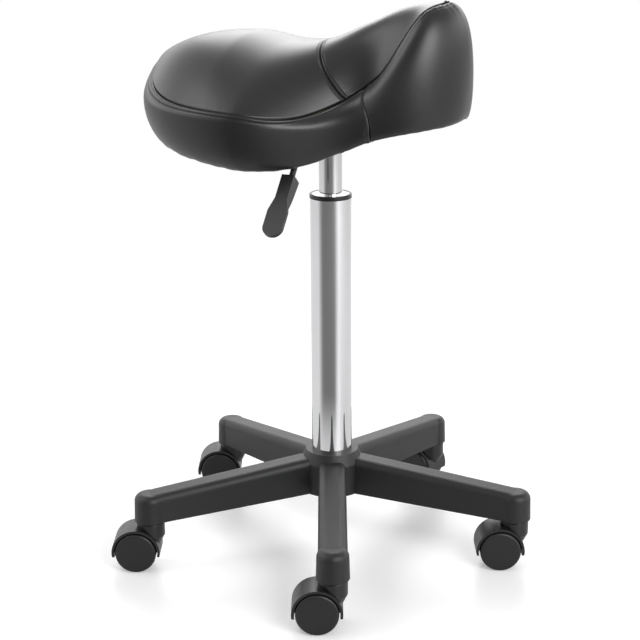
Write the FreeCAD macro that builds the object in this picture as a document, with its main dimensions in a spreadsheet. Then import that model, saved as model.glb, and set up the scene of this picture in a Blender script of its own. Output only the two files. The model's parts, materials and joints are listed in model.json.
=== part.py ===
import FreeCAD, Part
import math
import os
import Sketcher

# Saddle stool: five-arm castor base, gas column and a padded saddle seat.
# Millimetres, +Z up, origin on the floor under the column, seat nose towards -Y.

vector = FreeCAD.Vector
upright = vector(0, 0, 1)

doc = FreeCAD.newDocument("saddle_stool")

# Driving sizes
sizes = {
    # castors
    "wheel_radius": 25,
    "wheel_width": 17,
    "wheel_edge_round": 3,
    "wheel_face_wall": 3.5,
    "wheel_side_gap": 0.5,
    "web_thickness": 8,
    "web_radius": 17,
    "axle_radius": 3,
    "running_gap": 0.05,
    "castor_trail": 18,
    "hood_gap": 1.5,
    "hood_wall": 3,
    "hood_inset": 2,
    "hood_lip_drop": 5,
    "neck_radius": 17,
    "neck_foot_radius": 9,
    "neck_foot_height": 27,
    "neck_gap": 1.5,
    "stem_radius": 5.5,
    "stem_depth": 13.5,
    "stem_rise": 29,
    "stem_collar_radius": 8,
    "stem_collar_height": 1.2,
    "sleeve_wall": 1.5,
    "common_trail": 113,
    "odd_castor_turn": 38,
    # star base
    "arm_count": 5,
    "arm_angle": 59,
    "stem_circle": 235,
    "arm_tip_bottom": 62,
    "arm_tip_top": 97,
    "arm_root_bottom": 76,
    "arm_root_top": 122,
    "arm_root_radius": 20,
    "arm_half_width": 17,
    "arm_top_round": 9,
    "arm_wall": 4,
    "arm_roof": 5,
    "tip_radius": 18.5,
    "tip_flare": 1,
    "tip_round": 9,
    "hollow_start": 46,
    "hollow_end": 212,
    "rib_count": 3,
    "rib_thickness": 3,
    "rib_lift": 9,
    "hub_bottom": 75,
    "hub_top": 128,
    "hub_radius": 39,
    "hub_top_radius": 33,
    "hub_round": 8,
    # column
    "tube_radius": 25,
    "tube_wall": 1.5,
    "tube_taper": 0.8,
    "tube_bottom": 84,
    "tube_top": 449,
    "plate_thickness": 3,
    "bush_length": 60,
    "bush_collar": 5,
    "bush_rim": 0.5,
    "cap_recess": 1.6,
    "cap_height": 1.2,
    "cap_radius": 22.5,
    "race_thickness": 2,
    "race_radius": 11,
    "ball_radius": 2,
    "ball_circle": 8,
    "ball_count": 10,
    "rod_radius": 5,
    "rod_foot_radius": 4,
    "rod_foot_drop": 5,
    "rod_top": 441,
    "clip_thickness": 1.5,
    "clip_radius": 7.5,
    "clip_gap": 0.3,
    "bumper_radius": 11,
    "bumper_height": 20,
    "piston_bottom": 425,
    "piston_height": 14,
    "seal_width": 3,
    "seal_depth": 2,
    "cylinder_radius": 14,
    "cylinder_wall": 2,
    "cylinder_bottom": 165,
    "cylinder_cap": 4,
    "gland_height": 20,
    "cone_height": 20,
    "cone_narrowing": 0.8,
    "valve_length": 24,
    "pin_radius": 2.4,
    "pin_rise": 4.2,
    "pin_depth": 14,
    # seat mechanism
    "mount_bottom": 504,
    "socket_wall": 4,
    "socket_height": 33,
    "mount_plate_size": 120,
    "mount_plate_thickness": 3,
    "mount_plate_corner": 12,
    "bolt_square": 92,
    "bolt_radius": 3,
    "bolt_head_radius": 5.5,
    "bolt_head_height": 4,
    "washer_radius": 7,
    "washer_thickness": 1.2,
    "tee_nut_radius": 9,
    "tee_nut_barrel": 3.9,
    "tee_nut_flange": 1.5,
    "lever_gap": 0.6,
    "lever_radius": 3.5,
    "lever_slot_gap": 0.8,
    "pivot_distance": 26,
    "pivot_radius": 1.9,
    "ear_thickness": 3,
    "ear_gap": 0.5,
    "ear_half_length": 6,
    "lever_inner_end": 2.4,
    "lever_flat_end": 34,
    "lever_slope_end": 92,
    "lever_slope_drop": 14,
    "lever_bend_angle": 49,
    "lever_bend_radius": 16,
    "lever_tail": 34,
    "lever_depth": 5.5,
    "handle_length": 78,
    "handle_thickness": 5,
    "handle_grip_width": 24,
    "handle_neck_width": 15,
    "handle_neck_length": 30,
    "handle_flare_length": 16,
    "handle_spine_depth": 13,
    "handle_spine_end_depth": 6,
    "handle_spine_length": 46,
    "handle_overlap": 20,
    "handle_round": 11.5,
    # seat
    "dust_thickness": 0.8,
    "board_thickness": 12,
    "board_flat_reach": 62,
    "board_bend_radius": 190,
    "board_bend_reach": 100,
    "board_rear_radius": 132,
    "board_nose_radius": 50,
    "board_gap": 0.3,
    "cover_thickness": 1.4,
    "foam_gap": 0.3,
    "rear_centre": 57,
    "rear_radius": 167,
    "nose_centre": 89,
    "nose_radius": 84,
    "rear_seam_radius": 159,
    "nose_seam_radius": 64,
    "rim_rear_inset": 15,
    "rim_nose_inset": 10,
    "end_fullness": 3.2,
    "crown_fullness": 2.4,
    "crown_flat_share": 0.68,
    "crown_turn_share": 0.92,
    "crown_least_rise": 8,
    "seam_curl": 1.5,
    "dome_height": 639,
    "dome_position": 110,
    "valley_height": 630,
    "valley_position": 52,
    "nose_height": 688,
    "seam_rear_height": 598,
    "seam_flank_height": 574,
    "seam_flank_position": 15,
    "belly_rear_height": 556,
    "belly_nose_height": 604,
    "rim_rear_height": 516,
    "rim_nose_height": 560,
}


class Size(float):
    """A number that remembers the sheet expression it came from."""

    def __new__(cls, number, text=None):
        made = super().__new__(cls, number)
        made.text = text or "%.9g" % number
        return made

    def joined(self, other, sign, number, swapped=False):
        other = other if isinstance(other, Size) else Size(other)
        left, right = (other, self) if swapped else (self, other)
        return Size(number, "(%s %s %s)" % (left.text, sign, right.text))

    def __add__(self, other):
        return self.joined(other, "+", float(self) + float(other))

    def __radd__(self, other):
        return self.joined(other, "+", float(other) + float(self), True)

    def __sub__(self, other):
        return self.joined(other, "-", float(self) - float(other))

    def __rsub__(self, other):
        return self.joined(other, "-", float(other) - float(self), True)

    def __mul__(self, other):
        return self.joined(other, "*", float(self) * float(other))

    def __rmul__(self, other):
        return self.joined(other, "*", float(other) * float(self), True)

    def __truediv__(self, other):
        return self.joined(other, "/", float(self) / float(other))

    def __neg__(self):
        return Size(-float(self), "(-1 * %s)" % self.text)


class Sheet:
    """The driving sizes, kept in a spreadsheet and read by name."""

    def __init__(self, values):
        self.page = doc.addObject("Spreadsheet::Sheet", "Sizes")
        for row, (name, number) in enumerate(values.items(), start=1):
            self.page.set("A%d" % row, name)
            self.page.set("B%d" % row, str(number))
            self.page.setAlias("B%d" % row, name)
        doc.recompute()

    def __getattr__(self, name):
        return Size(float(self.page.get(name)), "Sizes." + name)


size = Sheet(sizes)
nodes = []


def keep(item, label):
    item.Label = label
    nodes.append(item)
    return item


def bind(item, **values):
    """Set properties of an object and tie them to the sheet."""
    for name, number in values.items():
        setattr(item, name, float(number))
        if isinstance(number, Size):
            item.setExpression(name, number.text)
    return item


# Sketches

def corner_ends(before, corner, after):
    """Where a corner's round starts and stops, with the round's radius."""
    x, y = corner[0], corner[1]
    if len(corner) == 2:
        return (x, y), (x, y), None
    turn_radius = corner[2]
    arriving = vector(x - before[0], y - before[1], 0).normalize()
    leaving = vector(after[0] - x, after[1] - y, 0).normalize()
    reach = turn_radius
    if abs(arriving.dot(leaving)) > 1e-6:
        reach = float(turn_radius) * math.tan(arriving.getAngle(leaving) / 2)

    def moved(base, along):
        if abs(along) < 1e-9:
            return base
        if abs(abs(along) - 1) < 1e-9 and isinstance(reach, Size):
            return base + reach if along > 0 else base - reach
        return float(base) + float(reach) * along

    start = (moved(x, -arriving.x), moved(y, -arriving.y))
    stop = (moved(x, leaving.x), moved(y, leaving.y))
    return start, stop, turn_radius


def pin_point(sketch, geometry, place, point):
    for kind, number in (("DistanceX", point[0]), ("DistanceY", point[1])):
        row = sketch.addConstraint(Sketcher.Constraint(kind, -1, 1, geometry, place, float(number)))
        if isinstance(number, Size):
            sketch.setExpression("Constraints[%d]" % row, number.text)


def draw(sketch, corners):
    """A closed outline of straight lines, each corner (x, y) or (x, y, round)."""
    count = len(corners)
    ends = [corner_ends(corners[i - 1], corners[i], corners[(i + 1) % count]) for i in range(count)]
    lines = []
    for i in range(count):
        start, stop = ends[i][1], ends[(i + 1) % count][0]
        line = Part.LineSegment(vector(start[0], start[1], 0), vector(stop[0], stop[1], 0))
        lines.append(sketch.addGeometry(line, False))
    for i in range(count):
        start, stop, turn_radius = ends[i]
        before, after = lines[i - 1], lines[i]
        pin_point(sketch, after, 1, stop)
        if turn_radius is None:
            sketch.addConstraint(Sketcher.Constraint("Coincident", before, 2, after, 1))
            continue
        pin_point(sketch, before, 2, start)
        first = vector(start[0], start[1], 0)
        last = vector(stop[0], stop[1], 0)
        corner = vector(corners[i][0], corners[i][1], 0)
        inward = (first + last) / 2 - corner
        reach = math.sqrt((first - corner).Length ** 2 + float(turn_radius) ** 2)
        centre = corner + inward.normalize() * reach
        anticlockwise = (corner - first).cross(last - corner).z > 0
        head, tail = (first, last) if anticlockwise else (last, first)
        from_angle = math.atan2(head.y - centre.y, head.x - centre.x)
        to_angle = math.atan2(tail.y - centre.y, tail.x - centre.x)
        if to_angle < from_angle:
            to_angle += 2 * math.pi
        circle = Part.Circle(centre, upright, float(turn_radius))
        arc = sketch.addGeometry(Part.ArcOfCircle(circle, from_angle, to_angle), False)
        entry, leave = (1, 2) if anticlockwise else (2, 1)
        sketch.addConstraint(Sketcher.Constraint("Coincident", before, 2, arc, entry))
        sketch.addConstraint(Sketcher.Constraint("Coincident", arc, leave, after, 1))
        row = sketch.addConstraint(Sketcher.Constraint("Radius", arc, float(turn_radius)))
        if isinstance(turn_radius, Size):
            sketch.setExpression("Constraints[%d]" % row, turn_radius.text)


def new_body(name):
    body = doc.addObject("PartDesign::Body", name)
    body.AllowCompound = True
    return body


def origin_part(body, role):
    for feature in body.Origin.OriginFeatures:
        if feature.Role == role:
            return feature
    raise ValueError("no origin feature " + role)


def new_sketch(body, name, role, corners, offset=(0, 0, 0)):
    """A sketch on an origin plane; the offset is along the plane's own x, y and normal."""
    sketch = body.newObject("Sketcher::SketchObject", name)
    sketch.AttachmentSupport = [(origin_part(body, role), "")]
    sketch.MapMode = "FlatFace"
    sketch.AttachmentOffset = FreeCAD.Placement(vector(*[float(v) for v in offset]), FreeCAD.Rotation())
    for axis, number in zip("xyz", offset):
        if isinstance(number, Size):
            sketch.setExpression("AttachmentOffset.Base." + axis, number.text)
    draw(sketch, corners)
    return sketch


def revolve(body, name, corners, offset=(0, 0, 0), kind="PartDesign::Revolution", role="XZ_Plane"):
    """Turn an outline of (radius, height) corners about the sketch's upright axis."""
    sketch = new_sketch(body, name + "_outline", role, corners, offset)
    turned = body.newObject(kind, name)
    turned.Profile = sketch
    turned.ReferenceAxis = (sketch, ["V_Axis"])
    turned.Angle = 360
    return turned


def polar(body, name, originals, count):
    pattern = body.newObject("PartDesign::PolarPattern", name)
    pattern.Originals = originals
    pattern.Axis = (origin_part(body, "Z_Axis"), [""])
    pattern.Angle = 360
    pattern.Occurrences = int(count)
    body.Tip = pattern
    return pattern


def turned_part(label, corners):
    body = new_body(label)
    revolve(body, label + "_turned", corners)
    return keep(body, label)


def at_angle(item, angle):
    item.Placement = FreeCAD.Placement(vector(0, 0, 0), upright, float(angle))
    return item


def tube_corners(inner, outer, bottom, top):
    return [(inner, bottom), (outer, bottom), (outer, top), (inner, top)]


# Star base: hub, five hollow arms with ribs, and a round end over each castor

def arm_section(half, bottom, top, turn_radius):
    return [(-half, bottom), (half, bottom), (half, top, turn_radius), (-half, top, turn_radius)]


def along_arm(start, stop, distance):
    """A height on the straight taper from the arm's root to its tip."""
    share = (distance - size.arm_root_radius) / (size.stem_circle - size.arm_root_radius)
    return start + (stop - start) * share


def arm_loft(body, name, kind, stations, sections):
    sketches = [new_sketch(body, "%s_%d" % (name, i), "YZ_Plane", corners, (0, 0, place))
                for i, (place, corners) in enumerate(zip(stations, sections))]
    loft = body.newObject(kind, name)
    loft.Profile = sketches[0]
    loft.Sections = sketches[1:]
    return loft


def make_star_base():
    body = new_body("star_base")
    bore_bottom = size.tube_radius - size.tube_taper + size.running_gap
    bore_top = size.tube_radius + size.running_gap
    hub = revolve(body, "hub", [
        (bore_bottom, size.hub_bottom),
        (size.hub_radius, size.hub_bottom),
        (size.hub_radius, size.arm_root_top - size.hub_round),
        (size.hub_top_radius, size.hub_top),
        (bore_top, size.hub_top),
        (bore_bottom, size.tube_bottom)])
    arm = arm_loft(body, "arm", "PartDesign::AdditiveLoft",
                   [size.arm_root_radius + size.hub_radius / 4, size.stem_circle],
                   [arm_section(size.arm_half_width,
                                along_arm(size.arm_root_bottom, size.arm_tip_bottom,
                                          size.arm_root_radius + size.hub_radius / 4),
                                along_arm(size.arm_root_top, size.arm_tip_top,
                                          size.arm_root_radius + size.hub_radius / 4),
                                size.arm_top_round),
                    arm_section(size.arm_half_width, size.arm_tip_bottom, size.arm_tip_top,
                                size.arm_top_round)])
    tip = revolve(body, "tip", [
        (0, size.arm_tip_bottom),
        (size.tip_radius + size.tip_flare, size.arm_tip_bottom),
        (size.tip_radius, size.arm_tip_top, size.tip_round),
        (0, size.arm_tip_top)], (size.stem_circle, 0, 0))
    inner_half = size.arm_half_width - size.arm_wall
    hollow = arm_loft(body, "hollow", "PartDesign::SubtractiveLoft",
                      [size.hollow_start, size.hollow_end],
                      [arm_section(inner_half,
                                   along_arm(size.arm_root_bottom, size.arm_tip_bottom, place) - 1,
                                   along_arm(size.arm_root_top, size.arm_tip_top, place) - size.arm_roof,
                                   size.arm_top_round - size.arm_wall)
                       for place in (size.hollow_start, size.hollow_end)])
    ribs = []
    rib_half = inner_half + size.arm_wall / 2
    for i in range(int(size.rib_count)):
        share = (i + 1) / (size.rib_count + 1)
        place = size.hollow_start + (size.hollow_end - size.hollow_start) * share
        rib_foot = along_arm(size.arm_root_bottom, size.arm_tip_bottom, place) + size.rib_lift
        rib_head = along_arm(size.arm_root_top, size.arm_tip_top, place) - size.arm_top_round
        outline = [(-rib_half, rib_foot), (rib_half, rib_foot),
                   (rib_half, rib_head), (-rib_half, rib_head)]
        sketch = new_sketch(body, "rib_outline_%d" % i, "YZ_Plane", outline, (0, 0, place))
        rib = body.newObject("PartDesign::Pad", "rib_%d" % i)
        rib.Profile = sketch
        bind(rib, Length=size.rib_thickness)
        ribs.append(rib)
    sleeve = size.stem_radius + size.sleeve_wall
    bore = revolve(body, "stem_bore", [
        (0, size.arm_tip_bottom - 1),
        (sleeve, size.arm_tip_bottom - 1),
        (sleeve, size.arm_tip_bottom + size.stem_rise),
        (0, size.arm_tip_bottom + size.stem_rise)], (size.stem_circle, 0, 0), "PartDesign::Groove")
    polar(body, "arms", [arm, tip, hollow] + ribs + [bore], size.arm_count)
    bore = revolve(body, "column_bore", [
        (0, size.hub_bottom - 1),
        (bore_bottom, size.hub_bottom - 1),
        (bore_bottom, size.tube_bottom),
        (bore_top, size.hub_top),
        (bore_top, size.hub_top + size.hub_round),
        (0, size.hub_top + size.hub_round)], kind="PartDesign::Groove")
    body.Tip = bore
    keep(body, "star_base")
    at_angle(body, size.arm_angle)


def make_stems():
    """The sleeves pressed into the arms and the stems that the castors turn on."""
    sleeves = new_body("stem_sleeves")
    sleeve = revolve(sleeves, "sleeve", tube_corners(
        size.stem_radius, size.stem_radius + size.sleeve_wall,
        size.arm_tip_bottom, size.arm_tip_bottom + size.stem_rise), (size.stem_circle, 0, 0))
    polar(sleeves, "sleeve_ring", [sleeve], size.arm_count)
    at_angle(keep(sleeves, "stem_sleeves"), size.arm_angle)
    stems = new_body("castor_stems")
    collar_bottom = size.arm_tip_bottom - size.stem_collar_height
    foot = size.arm_tip_bottom - size.neck_gap - size.stem_depth
    stem = revolve(stems, "stem", [
        (0, foot),
        (size.stem_radius - 1, foot),
        (size.stem_radius, foot + 1),
        (size.stem_radius, collar_bottom),
        (size.stem_collar_radius, collar_bottom),
        (size.stem_collar_radius, size.arm_tip_bottom),
        (size.stem_radius, size.arm_tip_bottom),
        (size.stem_radius, size.arm_tip_bottom + size.stem_rise - 2),
        (size.stem_radius - 1, size.arm_tip_bottom + size.stem_rise - 1),
        (0, size.arm_tip_bottom + size.stem_rise - 1)], (size.stem_circle, 0, 0))
    polar(stems, "stem_ring", [stem], size.arm_count)
    at_angle(keep(stems, "castor_stems"), size.arm_angle)


# Castors: hood with its neck and web, axle and two wheels

def cylinder(name, radius, height, place=(0, 0, 0), axis=upright):
    item = doc.addObject("Part::Cylinder", name)
    bind(item, Radius=radius, Height=height)
    turn = FreeCAD.Rotation(upright, axis)
    item.Placement = FreeCAD.Placement(vector(*[float(v) for v in place]), turn)
    for key, number in zip("xyz", place):
        if isinstance(number, Size):
            item.setExpression("Placement.Base." + key, number.text)
    return item


def block(name, length, width, height, place):
    item = doc.addObject("Part::Box", name)
    bind(item, Length=length, Width=width, Height=height)
    item.Placement = FreeCAD.Placement(vector(*[float(v) for v in place]), FreeCAD.Rotation())
    for key, number in zip("xyz", place):
        if isinstance(number, Size):
            item.setExpression("Placement.Base." + key, number.text)
    return item


def joined(name, shapes):
    item = doc.addObject("Part::MultiFuse", name)
    item.Shapes = shapes
    item.Refine = True
    return item


def common(name, first, second):
    item = doc.addObject("Part::Common", name)
    item.Base = first
    item.Tool = second
    return item


def cut(name, base, tool):
    item = doc.addObject("Part::Cut", name)
    item.Base = base
    item.Tool = tool
    item.Refine = True
    return item


across = vector(0, 1, 0)


def wheel_offset():
    return size.web_thickness / 2 + size.wheel_side_gap


def make_housing(number):
    """One hood, made about its stem with the wheel trailing along +X."""
    tag = "_%d" % number
    inner = size.wheel_radius + size.hood_gap
    outer = inner + size.hood_wall
    half = wheel_offset() + size.wheel_width - size.hood_inset
    axle = (size.castor_trail, -half, size.wheel_radius)
    top = size.arm_tip_bottom - size.neck_gap
    drum = cylinder("hood_drum" + tag, outer, half * 2, axle, across)
    above = block("hood_keep" + tag, outer * 2, outer * 2, outer * 2,
                  (size.castor_trail - outer, -outer, size.wheel_radius - size.hood_lip_drop))
    hood = common("hood_half" + tag, drum, above)
    neck_body = new_body("neck" + tag)
    revolve(neck_body, "neck_turned" + tag, [
        (0, size.neck_foot_height),
        (size.neck_foot_radius, size.neck_foot_height),
        (size.neck_radius, size.wheel_radius + size.castor_trail),
        (size.neck_radius, top, size.hood_gap),
        (0, top)])
    web = cylinder("web" + tag, size.web_radius, size.web_thickness,
                   (size.castor_trail, -size.web_thickness / 2, size.wheel_radius), across)
    solid = joined("hood_solid" + tag, [hood, neck_body])
    cavities = []
    depth = outer * 2
    for side, start in (("left", -size.web_thickness / 2 - depth), ("right", size.web_thickness / 2)):
        cavities.append(cylinder("cavity_" + side + tag, inner, depth,
                                 (size.castor_trail, start, size.wheel_radius), across))
    hollow = cut("hood_hollow" + tag, solid, joined("cavities" + tag, cavities))
    whole = joined("hood_whole" + tag, [hollow, web])
    axle_bore = cylinder("axle_bore" + tag, size.axle_radius, half * 2, axle, across)
    stem_bore = cylinder("stem_bore" + tag, size.stem_radius + size.running_gap, size.stem_depth * 2,
                         (0, 0, top - size.stem_depth - size.clip_gap))
    return cut("castor_housing" + tag, whole, joined("bores" + tag, [axle_bore, stem_bore]))


def castor_place(number):
    """Stem position and the direction in which the wheel trails, in degrees."""
    stem_angle = math.radians(size.arm_angle + 360 / size.arm_count * number)
    place = vector(size.stem_circle * math.cos(stem_angle), size.stem_circle * math.sin(stem_angle), 0)
    return place, castor_trails[number]


# Castor number runs round from the rear left arm; the rear right one stands turned.
# All castors trail one way, as after a push, apart from the last.
castor_trails = [float(size.common_trail)] * (int(size.arm_count) - 1)
castor_trails.append(float(size.common_trail - size.odd_castor_turn))


def make_castor(number):
    place, trail = castor_place(number)
    turn = FreeCAD.Rotation(upright, trail)
    housing = keep(make_housing(number + 1), "castor_housing_%d" % (number + 1))
    housing.Placement = FreeCAD.Placement(place, turn)
    bore_depth = size.wheel_width - size.wheel_face_wall
    axle_half = wheel_offset() + bore_depth - size.running_gap
    axle = new_body("castor_axle_%d" % (number + 1))
    revolve(axle, "axle_turned_%d" % (number + 1), [
        (0, -axle_half), (size.axle_radius, -axle_half), (size.axle_radius, axle_half), (0, axle_half)])
    lay_down = FreeCAD.Rotation(upright, across)
    centre = place + turn.multVec(vector(float(size.castor_trail), 0, float(size.wheel_radius)))
    axle.Placement = FreeCAD.Placement(centre, turn * lay_down)
    keep(axle, "castor_axle_%d" % (number + 1))
    for side, sign in (("a", 1), ("b", -1)):
        label = "castor_wheel_%d%s" % (number + 1, side)
        wheel = new_body(label)
        near = wheel_offset()
        far = near + size.wheel_width
        bore = size.axle_radius + size.running_gap
        revolve(wheel, label + "_turned", [
            (bore, near),
            (size.wheel_radius, near, size.wheel_edge_round / 2),
            (size.wheel_radius, far, size.wheel_edge_round),
            (0, far),
            (0, near + bore_depth),
            (bore, near + bore_depth)])
        facing = FreeCAD.Rotation(upright, across * sign)
        wheel.Placement = FreeCAD.Placement(centre, turn * facing)
        keep(wheel, label)


# Column: outer tube, guide bush and thrust bearing

def make_column():
    inner = size.tube_radius - size.tube_wall
    foot = size.tube_radius - size.tube_taper
    hole = size.rod_foot_radius + size.running_gap
    turned_part("column_tube", [
        (hole, size.tube_bottom),
        (foot, size.tube_bottom),
        (size.tube_radius, size.hub_top),
        (size.tube_radius, size.tube_top),
        (inner, size.tube_top),
        (inner, size.hub_top),
        (foot - size.tube_wall, size.tube_bottom + size.plate_thickness),
        (hole, size.tube_bottom + size.plate_thickness)])
    guide = size.cylinder_radius + size.running_gap
    top = size.tube_top + size.bush_collar
    turned_part("guide_bush", [
        (guide, size.tube_top - size.bush_length),
        (inner - size.running_gap, size.tube_top - size.bush_length),
        (inner - size.running_gap, size.tube_top),
        (size.tube_radius + size.bush_rim, size.tube_top),
        (size.tube_radius + size.bush_rim, top, size.bush_rim * 2),
        (size.cap_radius + size.running_gap, top),
        (size.cap_radius + size.running_gap, top - size.cap_recess),
        (guide, top - size.cap_recess)])
    turned_part("bush_cap", tube_corners(
        guide + size.running_gap, size.cap_radius, top - size.cap_recess,
        top - size.cap_recess + size.cap_height))
    floor = size.tube_bottom + size.plate_thickness
    race_inner = size.rod_foot_radius + size.running_gap
    turned_part("thrust_race_lower", tube_corners(
        race_inner, size.race_radius, floor, floor + size.race_thickness))
    balls = new_body("thrust_balls")
    middle = floor + size.race_thickness + size.ball_radius
    ball_sketch = balls.newObject("Sketcher::SketchObject", "ball_outline")
    ball_sketch.AttachmentSupport = [(origin_part(balls, "XZ_Plane"), "")]
    ball_sketch.MapMode = "FlatFace"
    ball_sketch.AttachmentOffset = FreeCAD.Placement(
        vector(float(size.ball_circle), float(middle), 0), FreeCAD.Rotation())
    ball_sketch.setExpression("AttachmentOffset.Base.x", size.ball_circle.text)
    ball_sketch.setExpression("AttachmentOffset.Base.y", middle.text)
    ball_size = size.ball_radius - size.running_gap
    circle = Part.Circle(vector(0, 0, 0), upright, float(ball_size))
    half_turn = ball_sketch.addGeometry(Part.ArcOfCircle(circle, -math.pi / 2, math.pi / 2), False)
    chord = ball_sketch.addGeometry(Part.LineSegment(
        vector(0, float(ball_size), 0), vector(0, -float(ball_size), 0)), False)
    ball_sketch.addConstraint(Sketcher.Constraint("Coincident", half_turn, 2, chord, 1))
    ball_sketch.addConstraint(Sketcher.Constraint("Coincident", half_turn, 1, chord, 2))
    ball_sketch.addConstraint(Sketcher.Constraint("Coincident", half_turn, 3, -1, 1))
    ball_sketch.addConstraint(Sketcher.Constraint("PointOnObject", half_turn, 1, -2))
    ball_sketch.addConstraint(Sketcher.Constraint("PointOnObject", half_turn, 2, -2))
    row = ball_sketch.addConstraint(Sketcher.Constraint("Radius", half_turn, float(ball_size)))
    ball_sketch.setExpression("Constraints[%d]" % row, ball_size.text)
    ball = balls.newObject("PartDesign::Revolution", "ball")
    ball.Profile = ball_sketch
    ball.ReferenceAxis = (ball_sketch, ["V_Axis"])
    ball.Angle = 360
    polar(balls, "ball_ring", [ball], size.ball_count)
    keep(balls, "thrust_balls")
    upper = middle + size.ball_radius
    turned_part("thrust_race_upper", tube_corners(
        race_inner, size.race_radius, upper, upper + size.race_thickness))
    return upper + size.race_thickness


# Gas spring: rod, piston and cylinder

def make_gas_spring(shoulder):
    foot = size.tube_bottom - size.rod_foot_drop
    clip_top = size.tube_bottom - size.clip_gap
    clip_bottom = clip_top - size.clip_thickness
    groove = size.rod_foot_radius - 1
    turned_part("piston_rod", [
        (0, foot),
        (size.rod_foot_radius, foot),
        (size.rod_foot_radius, clip_bottom),
        (groove, clip_bottom),
        (groove, clip_top),
        (size.rod_foot_radius, clip_top),
        (size.rod_foot_radius, shoulder),
        (size.rod_radius, shoulder),
        (size.rod_radius, size.rod_top),
        (0, size.rod_top)])
    turned_part("rod_clip", tube_corners(groove, size.clip_radius, clip_bottom, clip_top))
    turned_part("rubber_bumper", [
        (size.rod_radius, shoulder),
        (size.bumper_radius, shoulder),
        (size.bumper_radius, shoulder + size.bumper_height, size.rod_radius / 2),
        (size.rod_radius, shoulder + size.bumper_height)])
    bore = size.cylinder_radius - size.cylinder_wall
    piston_top = size.piston_bottom + size.piston_height
    seal_bottom = size.piston_bottom + (size.piston_height - size.seal_width) / 2
    seal_inner = bore - size.seal_depth
    piston_radius = bore - size.running_gap * 2
    turned_part("piston", [
        (size.rod_radius, size.piston_bottom),
        (piston_radius, size.piston_bottom),
        (piston_radius, seal_bottom),
        (seal_inner, seal_bottom),
        (seal_inner, seal_bottom + size.seal_width),
        (piston_radius, seal_bottom + size.seal_width),
        (piston_radius, piston_top),
        (size.rod_radius, piston_top)])
    turned_part("piston_seal", tube_corners(
        seal_inner, bore - size.running_gap, seal_bottom, seal_bottom + size.seal_width))
    cone_bottom = size.mount_bottom
    cone_top = cone_bottom + size.cone_height
    turned_part("gas_cylinder", [
        (bore, size.cylinder_bottom),
        (size.cylinder_radius, size.cylinder_bottom),
        (size.cylinder_radius, cone_bottom),
        (size.cylinder_radius - size.cone_narrowing, cone_top),
        (size.pin_radius + size.running_gap, cone_top),
        (size.pin_radius + size.running_gap, cone_top - size.cylinder_cap),
        (bore, cone_top - size.cylinder_cap)])
    turned_part("cylinder_gland", tube_corners(
        size.rod_radius + size.running_gap, bore, size.cylinder_bottom,
        size.cylinder_bottom + size.gland_height))
    valve_top = cone_top - size.cylinder_cap
    turned_part("valve_block", [
        (0, valve_top - size.valve_length),
        (bore, valve_top - size.valve_length),
        (bore, valve_top),
        (size.pin_radius + size.running_gap, valve_top),
        (size.pin_radius + size.running_gap, valve_top - size.pin_depth - size.cylinder_cap),
        (0, valve_top - size.pin_depth - size.cylinder_cap)])
    turned_part("release_pin", [
        (0, valve_top - size.pin_depth),
        (size.pin_radius, valve_top - size.pin_depth),
        (size.pin_radius, cone_top + size.pin_rise, size.pin_radius / 3),
        (0, cone_top + size.pin_rise)])


# Seat mechanism: cone socket, mounting plate with ears, lever and its pivot

def plate_levels():
    top = size.mount_bottom + size.socket_height + size.mount_plate_thickness
    return top - size.mount_plate_thickness, top


def lever_height():
    pin_top = size.mount_bottom + size.cone_height + size.pin_rise
    return pin_top + size.lever_gap + size.lever_radius


def make_socket():
    plate_bottom, plate_top = plate_levels()
    cone_top = size.mount_bottom + size.cone_height
    inner = size.cylinder_radius + size.running_gap
    body = new_body("cone_socket")
    revolve(body, "socket_turned", [
        (inner, size.mount_bottom),
        (size.cylinder_radius + size.socket_wall, size.mount_bottom, size.socket_wall / 2),
        (size.cylinder_radius + size.socket_wall, plate_bottom),
        (inner, plate_bottom),
        (inner - size.cone_narrowing, cone_top),
        (inner, size.mount_bottom + size.running_gap)])
    slot_half = size.lever_radius + size.lever_slot_gap
    sketch = new_sketch(body, "slot_outline", "YZ_Plane", [
        (-slot_half, cone_top),
        (slot_half, cone_top),
        (slot_half, plate_bottom + 1),
        (-slot_half, plate_bottom + 1)], (0, 0, -size.cylinder_radius - size.socket_wall * 2))
    slot = body.newObject("PartDesign::Pocket", "slot")
    slot.Profile = sketch
    slot.Reversed = True
    bind(slot, Length=size.cylinder_radius + size.socket_wall * 2)
    body.Tip = slot
    keep(body, "cone_socket")


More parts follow.
